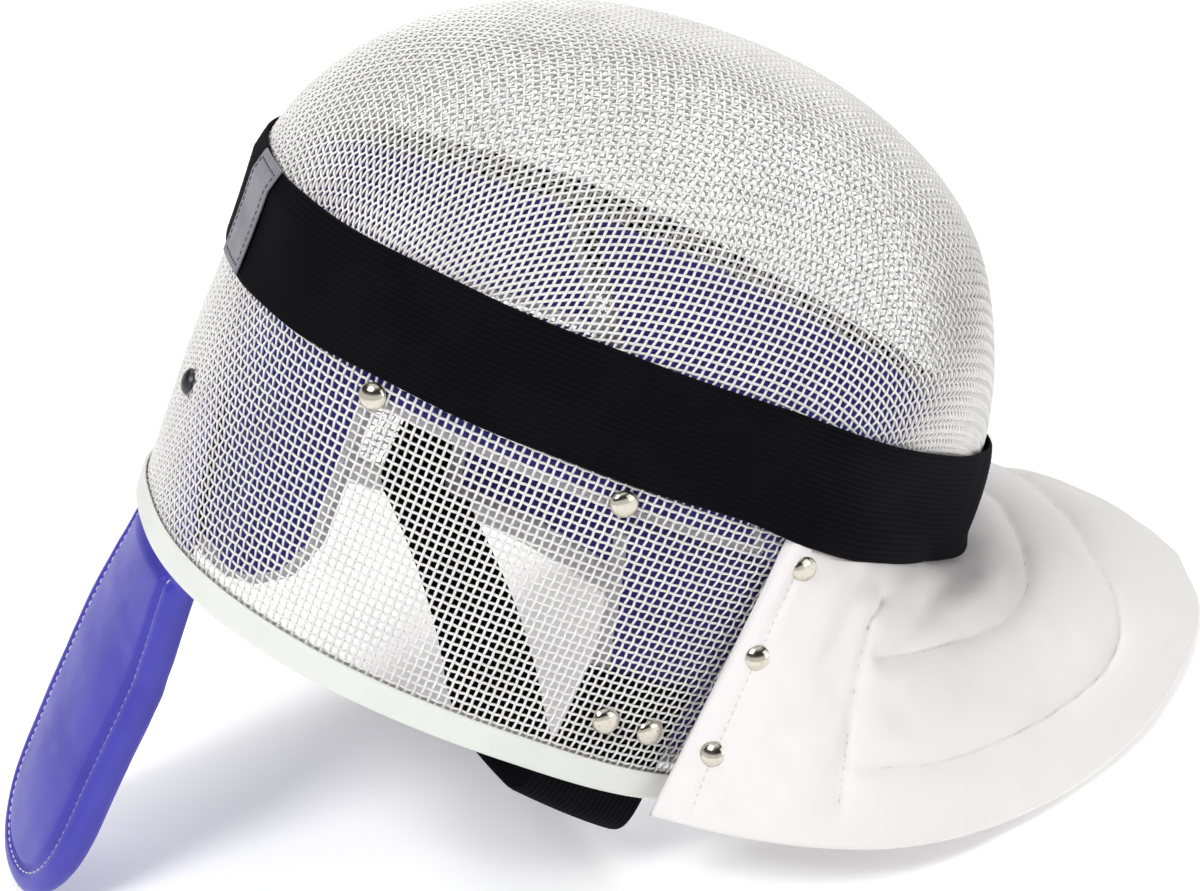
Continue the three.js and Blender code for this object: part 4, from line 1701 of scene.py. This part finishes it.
@dataclass
class Tongue:
    """The padded tongue at the back, with a rolled border and a row of white stitches in it."""

    form: TongueForm = field(default_factory=TongueForm)
    columns: int = 88
    rows: int = 176
    straight_rows: int = 112
    last_lean: float = 87.5
    roll: float = 6.0
    seam: float = 7.6

    def heights(self) -> Array:
        """The rows' heights, closer together at the round end."""
        straight = np.linspace(
            self.form.top, self.form.tip + self.form.round_end, self.straight_rows
        )
        count = self.rows - self.straight_rows + 1
        lean = np.radians(np.linspace(0.0, self.last_lean, count))[1:]
        rounded = self.form.tip + self.form.round_end * (1.0 - np.sin(lean))
        return np.concatenate([straight, rounded])

    def outline(self, inset: float = 0.0) -> Array:
        """The flat outline as across and height, moved inward."""
        heights = self.heights()
        breadth = self.form.half_breadth(heights)
        right = np.stack([breadth, heights], axis=-1)
        tip = np.array([[0.0, self.form.tip]])
        left = right[::-1] * np.array([-1.0, 1.0])
        line = resample(np.concatenate([right, tip, left]), 900)
        along = unit(np.gradient(line, axis=0))
        inward = np.stack([along[:, 1], -along[:, 0]], axis=-1)
        return line + inward * inset

    def flat(self, line: Array) -> Array:
        """Flat points as points with a third axis, to measure between."""
        return np.concatenate([line, np.zeros((*line.shape[:-1], 1))], axis=-1)

    def lift(self, across: Array, height: Array) -> Array:
        """How far the face of the tongue stands off its middle surface."""
        spot = self.flat(np.stack([across, height], axis=-1))
        whole = np.concatenate([self.outline(), self.closing()])
        edge = distance_to(spot, self.flat(whole))
        half = self.form.half_depth(height)
        border = rounding(edge, self.roll)
        seam = edge - self.seam
        channel = bell(seam - 0.3, 0.9) * 0.16 + bell(seam - 2.2, 1.3) * 0.34
        channel = channel + bell(seam, 5.0) * 0.1
        inner = 0.12 * smoothstep(edge, 12.0, 34.0)
        blade = border * (1.0 - channel + inner)
        return half * mix(rounding(edge, 1.6), blade, self.form.padded(height))

    def softness(self, across: Array, height: Array, lift: Array) -> Array:
        """The cover's unevenness and its shallow bends."""
        spots = np.stack([across, 0.0 * across, height], axis=-1)
        even = waves(spots, 42.0, 31) * 0.3 + waves(spots, 15.0, 32) * 0.07 + self.creases(spots)
        return even * smoothstep(-height, 3.0, 40.0) * smoothstep(lift, 3.0, 5.6)

    def closing(self) -> Array:
        """The flap's top edge, which closes the outline."""
        breadth = float(self.form.half_breadth(np.array([self.form.top]))[0])
        across = np.linspace(-breadth, breadth, 80)
        return np.stack([across, np.full(80, self.form.top)], axis=-1)

    def build(self) -> None:
        """Makes the padded blade and its stitches."""
        heights = self.heights()
        share = eased_ends(self.columns, 0.35) * 2.0 - 1.0
        across = share[None, :] * self.form.half_breadth(heights)[:, None]
        height = np.broadcast_to(heights[:, None], across.shape)
        middle = self.form.place(across, 0.0 * across, height)
        toward = unit(self.form.place(across, 0.0 * across + 1.0, height) - middle)
        lift = self.lift(across, height)
        soft = self.softness(across, height, lift)
        marks = np.stack([height, across, 0.0 * across], axis=-1)
        skin = Skin()
        vertices, quads = pillow(middle, lift + soft, lift - soft * 0.6, normals=toward)
        skin.add(vertices, quads, both_faces(marks))
        piece = Piece("tongue_padding", "tongue", "tongue").build(skin, Look.TONGUE.material())
        self.build_stitches()

    def creases(self, spots: Array) -> Array:
        """A few shallow bends across the blade where it gives."""
        height, across = spots[..., 2], spots[..., 0]
        total = 0.0 * height
        for level, lean, depth in ((-34, 0.25, 0.45), (-62, -0.12, 0.25), (-96, 0.1, 0.2)):
            total = total - depth * bell(height - level - lean * across, 5.0)
        return total

    def build_stitches(self) -> None:
        """Makes the row of stitches inside the border, on both faces."""
        line = self.outline(-self.seam if self.turns_outward() else self.seam)
        line = line[line[:, 1] < -6.0]
        skin = Skin()
        for side in (1.0, -1.0):
            lift = self.lift(line[:, 0], line[:, 1])
            soft = self.softness(line[:, 0], line[:, 1], lift)
            lift = lift + soft * (1.0 if side > 0.0 else -0.6) + 0.14
            path = self.form.place(line[:, 0], side * lift, line[:, 1])
            away = unit(self.form.place(line[:, 0], side * (lift + 1.0), line[:, 1]) - path)
            skin.join(stitches(path, away, 2.4, 3.4, 0.36))
        Piece("tongue_stitching", "tongue", "tongue").build(skin, Look.WHITE_THREAD.material())

    def turns_outward(self) -> bool:
        """Whether a move along the outline's own normal leaves the tongue."""
        return float(np.abs(self.outline(5.0)[200, 0])) > float(np.abs(self.outline()[200, 0]))


@dataclass(frozen=True)
class PadColumn:
    """A column of a pad: its angle from the chin, its lower edge, and how it leans."""

    around: float
    low: float = 10.5
    slant: float = 0.0
    lean: float = 0.0


@dataclass
class LiningPad:
    """A brushed pad inside the wall with binding round its edges: white tape, coloured grey as
    painted shade.
    """

    name: str
    node: str
    columns: tuple[PadColumn, ...]
    top: float
    tall: Callable[[float, float], bool]
    keeps_below: bool
    rises: tuple[float, ...] = ()
    inner: float = 12.4
    tongue_room: float = 6.4
    strap_room: float = 5.3
    slant_span: float = 54.0
    upper: tuple[float, ...] = (105.0, 123.0, 141.5, 146.0)
    fineness: int = 8

    def outer(self, around: Array, height: Array) -> Array:
        """How far the pad's outer face lies from the shell's outer face."""
        turn = SHELL.turn(around)
        tongue = smoothstep(turn, 146.0, 156.0) * smoothstep(-height, -84.0, -72.0)
        side = smoothstep(turn, 52.0, 60.0) * (1.0 - smoothstep(turn, 100.0, 120.0))
        strap = side * smoothstep(-height, -56.0, -46.0)
        room = tongue * self.tongue_room + strap * self.strap_room
        return -SHELL.thickness - 2.0 * GAP - room

    def grids(self) -> tuple[Array, Array, Array]:
        """Angles, heights, and which cells the pad fills."""
        mirrored = [(column, -1.0) for column in self.columns]
        own = [(column, 1.0) for column in self.columns]
        order = [*mirrored[::-1], *own[1:]] if self.columns[0].around == 0.0 else [
            *own,
            *mirrored[::-1][1:],
        ]
        heights, angles = [], []
        for column, side in order:
            low = min(column.low, self.top - 40.0)
            below = list(self.rises) or list(np.linspace(low, self.top, 5))
            levels = np.array([*below, *self.upper])
            turn = column.around + (
                column.slant * np.maximum(0.0, levels - self.top)
                - column.lean * np.maximum(0.0, self.top - levels)
            ) / self.slant_span
            heights.append(levels)
            angles.append(turn if side > 0.0 else 360.0 - turn)
        split = len(heights[0]) - 1 - len(self.upper)
        present = [
            [
                self.has(row < split, order[k][0], order[k + 1][0])
                for k in range(len(order) - 1)
            ]
            for row in range(len(heights[0]) - 1)
        ]
        angles = np.array(angles).T
        if self.columns[0].around == 0.0:
            angles = (angles + 180.0) % 360.0 - 180.0
        return self.refine(angles), self.refine(np.array(heights).T), np.array(present)

    def has(self, below: bool, first: PadColumn, second: PadColumn) -> bool:
        """Whether the pad fills the cells between two columns, below or above its full top."""
        if below == self.keeps_below:
            return True
        return self.tall(first.around, second.around)

    def refine(self, grid: Array) -> Array:
        """The grid with each of its cells cut into many."""
        for axis in (0, 1):
            count = grid.shape[axis]
            at = np.linspace(0.0, count - 1.0, (count - 1) * self.fineness + 1)
            low = np.minimum(at.astype(int), count - 2)
            share = at - low
            share = share[:, None] if axis == 0 else share[None, :]
            grid = mix(np.take(grid, low, axis), np.take(grid, low + 1, axis), share)
        return grid

    def border(self, present: Array, middle: Array) -> list[Array]:
        """The pad's edges as closed loops of points."""
        quads = grid_quads(*middle.shape[:2])[present.ravel()]
        follow = {int(a): int(b) for a, b in open_edges(quads)}
        loops = []
        while follow:
            start, here = next(iter(follow.items()))
            loop = [start]
            del follow[start]
            while here != start:
                loop.append(here)
                here = follow.pop(here)
            loops.append(middle.reshape(-1, 3)[loop])
        return loops

    def build(self) -> None:
        """Makes the pad and its binding."""
        around, height, coarse = self.grids()
        present = np.repeat(np.repeat(coarse, self.fineness, 0), self.fineness, 1)
        outer = SHELL.point(around, height, self.outer(around, height))
        inner = SHELL.point(around, height, -self.inner)
        middle = (outer + inner) / 2.0
        half = np.linalg.norm(outer - inner, axis=-1) / 2.0
        inward = unit(inner - outer)
        loops = self.border(present, middle)
        edge = distance_to(middle, np.concatenate([self.dense(loop) for loop in loops]))
        soft = waves(middle, 38.0, 41) * 0.5 + waves(middle, 12.0, 42) * 0.2
        full = rounding(edge, 5.5)
        skin = Skin()
        lift = np.maximum(half + np.minimum(soft, 0.6) - 0.3, 0.4) * full
        vertices, quads = pillow(middle, lift, half * full, present, normals=inward)
        skin.add(vertices, quads)
        piece = Piece(f"{self.name}_cloth", self.node, "lining").build(skin, Look.LINING.material())
        self.build_binding(loops, middle, inward)

    @staticmethod
    def dense(loop: Array) -> Array:
        """A closed loop's points, close together."""
        closed = np.concatenate([loop, loop[:1]])
        return resample(closed, len(loop) * 3)

    def build_binding(self, loops: list[Array], middle: Array, inward: Array) -> None:
        """Makes the folded tape round the pad's edges, apart from its top edge."""
        skin = Skin()
        spots, ways = middle.reshape(-1, 3), inward.reshape(-1, 3)
        tree = spot_tree(spots)
        for loop in loops:
            path = self.dense(loop)[:-1]
            for _ in range(10):
                path = (np.roll(path, 1, 0) + 2.0 * path + np.roll(path, -1, 0)) / 4.0
            path = resample(np.concatenate([path, path[:1]]), 1200)[:-1]
            away = np.array([ways[tree.find(place)[1]] for place in path])
            along = unit(np.roll(path, -1, 0) - np.roll(path, 1, 0))
            into = unit(np.cross(away, along))
            inside = path[:, None] + into[:, None] * np.array([4.0, -4.0])[None, :, None]
            to_pad = distance_to(inside, spots).mean(axis=0)
            path = path + into * (2.0 if to_pad[0] < to_pad[1] else -2.0)
            away = unit(np.cross(along, into) + 0.0 * away)
            bound = path[:, 2] < (self.upper[-1] - 4.0 if not self.rises else self.top - 5.0)
            start = int(np.flatnonzero(~bound)[0])
            path, away, bound = (np.roll(part, -start, 0) for part in (path, away, bound))
            for run in WireShell.runs(bound):
                stretch, up = path[run], away[run]
                vertices, quads = tube(stretch, up, np.array([4.1, 3.3]), False, 16)
                marks = np.zeros((len(stretch), 16, 3))
                marks[..., 0] = (np.arange(len(stretch)) * 0.9)[:, None]
                marks[..., 1] = np.arange(16) * 1.1
                skin.add(vertices, quads, marks)
        Piece(f"{self.name}_binding", self.node, "lining").build(skin, Look.BINDING.material())


def lining_pads() -> tuple[LiningPad, LiningPad]:
    """The pad in the crown and the pad in the chin."""
    crown_columns = (
        (65.5, 100, 20), (76, 100, 14.5), (87, 100, 9), (99, 100, 3), (111, 100, 0), (122, 100, 0),
        (133, 42, 0), (136, 26, 0), (142, 16, 0), (150, 11, 0), (157, 10.5, 0), (164, 10.5, 0),
        (172, 10.5, 0), (180, 10.5, 0),
    )  # fmt: skip
    chin_columns = (
        (0, 0, 0), (12, 4, 0), (24, 8, 0), (36, 12, 0), (48, 16, 0), (60, 20, 0), (68, 20, 0),
        (76, 20, 2.5), (84, 20, 5.5), (91, 20, 8),
    )  # fmt: skip
    crown = LiningPad(
        "crown_pad",
        "crown_pad",
        tuple(PadColumn(around, low, slant) for around, low, slant in crown_columns),
        top=100.0,
        tall=lambda first, second: min(first, second) >= 133.0,
        keeps_below=False,
    )
    chin = LiningPad(
        "chin_pad",
        "chin_pad",
        tuple(PadColumn(around, slant=slant, lean=lean) for around, slant, lean in chin_columns),
        top=97.0,
        tall=lambda first, second: max(first, second) <= 60.0,
        keeps_below=True,
        rises=(10.5, 35.0, 70.0, 97.0),
    )
    return crown, chin


@dataclass
class NeckStrap:
    """The slack ribbed strap under the neck."""

    form: NeckStrapForm = field(default_factory=NeckStrapForm)
    rows: int = 170
    columns: int = 91
    rib: float = 2.0
    rib_depth: float = 0.2

    def build(self) -> None:
        """Makes the strap."""
        middle = self.form.middle(self.rows, self.columns)
        for _ in range(3):
            inside = (middle[:-2] + 2.0 * middle[1:-1] + middle[2:]) / 4.0
            middle = np.concatenate([middle[:1], inside, middle[-1:]])
        away = grid_normals(middle)
        width = 2.0 * self.form.half_width
        across = np.linspace(0.0, width, self.columns)[None, :] + np.zeros((self.rows, 1))
        ribs = (np.cos(across * 2.0 * np.pi / self.rib) - 1.0) * 0.5 * self.rib_depth
        length = length_along(middle[:, self.columns // 2])[:, None] + 0.0 * across
        ends = np.minimum(length, length.max() - length)
        edge = np.minimum(np.minimum(across, width - across), ends)
        half = self.form.thickness / 2.0 * rounding(edge, 1.0)
        marks = np.stack([length, across, 0.0 * across], axis=-1)
        skin = Skin()
        vertices, quads = pillow(middle, half + ribs * 0.9, half + ribs * 0.9, normals=away)
        skin.add(vertices, quads, both_faces(marks))
        Piece("neck_strap_elastic", "neck_strap", "elastic").build(skin, Look.ELASTIC.material())


@dataclass
class Rivets:
    """The domed rivets: on the pads, the tongue, the neck strap's ends and the bib."""

    radius: float = 5.2
    height: float = 2.9
    sides: int = 40
    pad_places: tuple[tuple[str, float, float], ...] = (
        ("crown_pad_rivet", 131.5, 103.0),
        ("chin_pad_rivet", 92.6, 104.0),
    )
    tongue_place: tuple[float, float] = (180.0, 58.0)
    neck_height: float = 25.0
    neck_spacing: float = 18.7
    bib_places: tuple[tuple[str, float, float], ...] = (
        ("upper", 64.0, 0.06),
        ("middle", 65.0, 0.385),
        ("lower", 65.3, 0.735),
    )

    def profile(self) -> Array:
        """The head's outline from its middle over the rolled edge to its flat back."""
        lean = np.radians(np.linspace(90.0, 8.0, 12))
        dome = np.stack([self.radius * np.cos(lean) * 0.985, self.height * np.sin(lean)], axis=-1)
        dome[0, 0] = 0.02
        rim = np.array([(self.radius, 0.3), (self.radius - 0.1, 0.05), (self.radius - 0.5, 0.0)])
        return np.concatenate([dome, rim, [(0.02, 0.0)]])

    def place(self, name: str, spot: Array, direction: Array, look: Look = Look.NICKEL) -> None:
        """Makes one rivet.

        Args:
            name: the solid that it stands for.
            spot: the middle of its back.
            direction: the way that it faces.
            look: its finish.
        """
        profile = self.profile()
        side = unit(np.cross(direction, [0.31, 0.22, 0.93]))
        other = np.cross(direction, side)
        angles = np.arange(self.sides) * (2.0 * np.pi / self.sides)
        ring = np.cos(angles)[:, None] * side + np.sin(angles)[:, None] * other
        grid = spot + profile[:, None, :1] * ring[None] + profile[:, None, 1:] * direction
        quads = [
            grid_quads(len(profile), self.sides, ring=True),
            cap_quads(self.sides, 0)[:, ::-1],
            cap_quads(self.sides, (len(profile) - 1) * self.sides),
        ]
        skin = Skin()
        skin.add(grid, np.concatenate(quads))
        slot = "dark_rivet" if look is Look.BLACKENED else "rivet"
        Piece(f"{name}_head", name, slot).build(skin, look.material())

    def on_wall(self, name: str, around: float, height: float, look: Look = Look.NICKEL) -> None:
        """Makes a rivet that lies on the wall."""
        direction = SHELL.normal(around, height)
        self.place(name, SHELL.point(around, height) + direction * GAP, direction, look)

    def build(self) -> None:
        """Makes them all."""
        self.on_wall("tongue_rivet", *self.tongue_place, Look.BLACKENED)
        strap = NeckStrapForm()
        for sign, label, middle in ((-1.0, "near", strap.near_x), (1.0, "far", strap.far_x)):
            for name, around, height in self.pad_places:
                self.on_wall(f"{name}_{label}", sign * around, height)
            for name, around, along in self.bib_places:
                self.on_bib(f"bib_rivet_{label}_{name}", sign * around, along)
            for step, end in ((-0.5, "back"), (0.5, "front")):
                x = middle + step * self.neck_spacing
                around = sign * SHELL.around_of(x, self.neck_height)
                self.on_wall(f"neck_rivet_{label}_{end}", around, self.neck_height)

    def on_bib(self, name: str, around: float, along: float) -> None:
        """Makes a rivet that lies on the bib."""
        across = BIB.point(around + 1.0, along) - BIB.point(around - 1.0, along)
        down = BIB.point(around, along + 0.01) - BIB.point(around, along - 0.01)
        direction = unit(np.cross(across, down))
        direction = direction if direction[1] * around > 0.0 else -direction
        spot = BIB.point(around, along) + direction * (BIB.thickness / 2.0 + GAP / 2.0)
        self.place(name, spot, direction)


@dataclass
class Studio:
    """The camera at the photograph's angle, the paper floor and the soft lights."""

    camera_place: tuple[float, float, float] = (-447.96, -1069.25, 411.15)
    camera_right: tuple[float, float, float] = (0.87168, -0.26198, 0.41417)
    camera_up: tuple[float, float, float] = (-0.29431, 0.39591, 0.86985)
    lens: float = 93.3
    sensor: float = 36.0
    floor_half: float = 24.0

    def build_camera(self) -> None:
        """Makes the camera."""
        data = bpy.data.cameras.new("camera")
        data.lens = self.lens
        data.sensor_width = self.sensor
        data.clip_end = 80.0
        camera = bpy.data.objects.new("camera", data)
        right = STAND.direction(self.camera_right).normalized()
        up = STAND.direction(self.camera_up).normalized()
        back = right.cross(up)
        matrix = Matrix((right, up, back)).transposed().to_4x4()
        matrix.translation = Vector(STAND.place(np.array(self.camera_place)))
        camera.matrix_world = matrix
        bpy.context.scene.collection.objects.link(camera)
        bpy.context.scene.camera = camera

    def build_floor(self) -> None:
        """Makes the paper under the mask."""
        half = self.floor_half
        mesh = bpy.data.meshes.new("floor")
        corners = [(-half, -half, 0.0), (half, -half, 0.0), (half, half, 0.0), (-half, half, 0.0)]
        mesh.from_pydata(corners, [], [(0, 1, 2, 3)])
        mesh.materials.append(Look.FLOOR.material())
        floor = bpy.data.objects.new("floor", mesh)
        bpy.context.scene.collection.objects.link(floor)

    def build_light(
        self, name: str, place: Sequence[float], size: float, power: float, aim: Sequence[float]
    ) -> None:
        """Makes one square soft light.

        Args:
            name: its name.
            place: where it stands, in metres.
            size: its side in metres.
            power: its strength in watts.
            aim: the point that it faces.
        """
        data = bpy.data.lights.new(name, "AREA")
        data.size = size
        data.energy = power
        light = bpy.data.objects.new(name, data)
        light.location = place
        way = Vector(aim) - Vector(place)
        light.rotation_euler = way.to_track_quat("-Z", "Y").to_euler()
        bpy.context.scene.collection.objects.link(light)

    def build_world(self) -> None:
        """Makes the pale room round the mask, with a dim band above for the rivets to mirror."""
        world = bpy.data.worlds.new("studio")
        world.use_nodes = True
        nodes, links = world.node_tree.nodes, world.node_tree.links
        way = nodes.new("ShaderNodeTexCoord")
        split = nodes.new("ShaderNodeSeparateXYZ")
        ramp = nodes.new("ShaderNodeValToRGB")
        ramp.color_ramp.interpolation = "EASE"
        stops = ramp.color_ramp.elements
        stops[0].position, stops[0].color = 0.22, (1.0, 1.0, 0.99, 1.0)
        stops[1].position, stops[1].color = 0.42, (0.05, 0.05, 0.055, 1.0)
        for position, brightness in ((0.74, 0.05), (0.95, 1.0)):
            stops.new(position).color = (brightness, brightness, brightness, 1.0)
        links.new(way.outputs["Generated"], split.inputs[0])
        links.new(split.outputs["Z"], ramp.inputs[0])
        background = nodes["Background"]
        links.new(ramp.outputs["Color"], background.inputs["Color"])
        background.inputs["Strength"].default_value = 0.8
        bpy.context.scene.world = world

    def build(self) -> None:
        """Makes the floor, the lights and the room."""
        self.build_floor()
        self.build_world()
        middle = (0.0, 0.0, 0.12)
        self.build_light("key", (-1.2, -0.8, 1.9), 0.9, 30.0, middle)
        self.build_light("fill", (1.5, -1.5, 0.9), 1.6, 10.5, middle)
        self.build_light("back", (0.5, 1.2, 1.9), 1.2, 20.0, middle)


def main() -> None:
    """Builds the camera, every piece of the mask, and the studio."""
    logging.basicConfig(level=logging.INFO, format="%(name)s: %(message)s")
    studio = Studio()
    studio.build_camera()
    crown_pad, chin_pad = lining_pads()
    parts = (
        WireShell(),
        RimTrim(),
        HeadStrap(),
        Bib(),
        Tongue(),
        crown_pad,
        chin_pad,
        NeckStrap(),
        Rivets(),
        studio,
    )
    for part in parts:
        part.build()
        LOG.info("built %s", type(part).__name__)
    bpy.context.scene.view_settings.view_transform = "Standard"


if __name__ == "__main__":
    main()
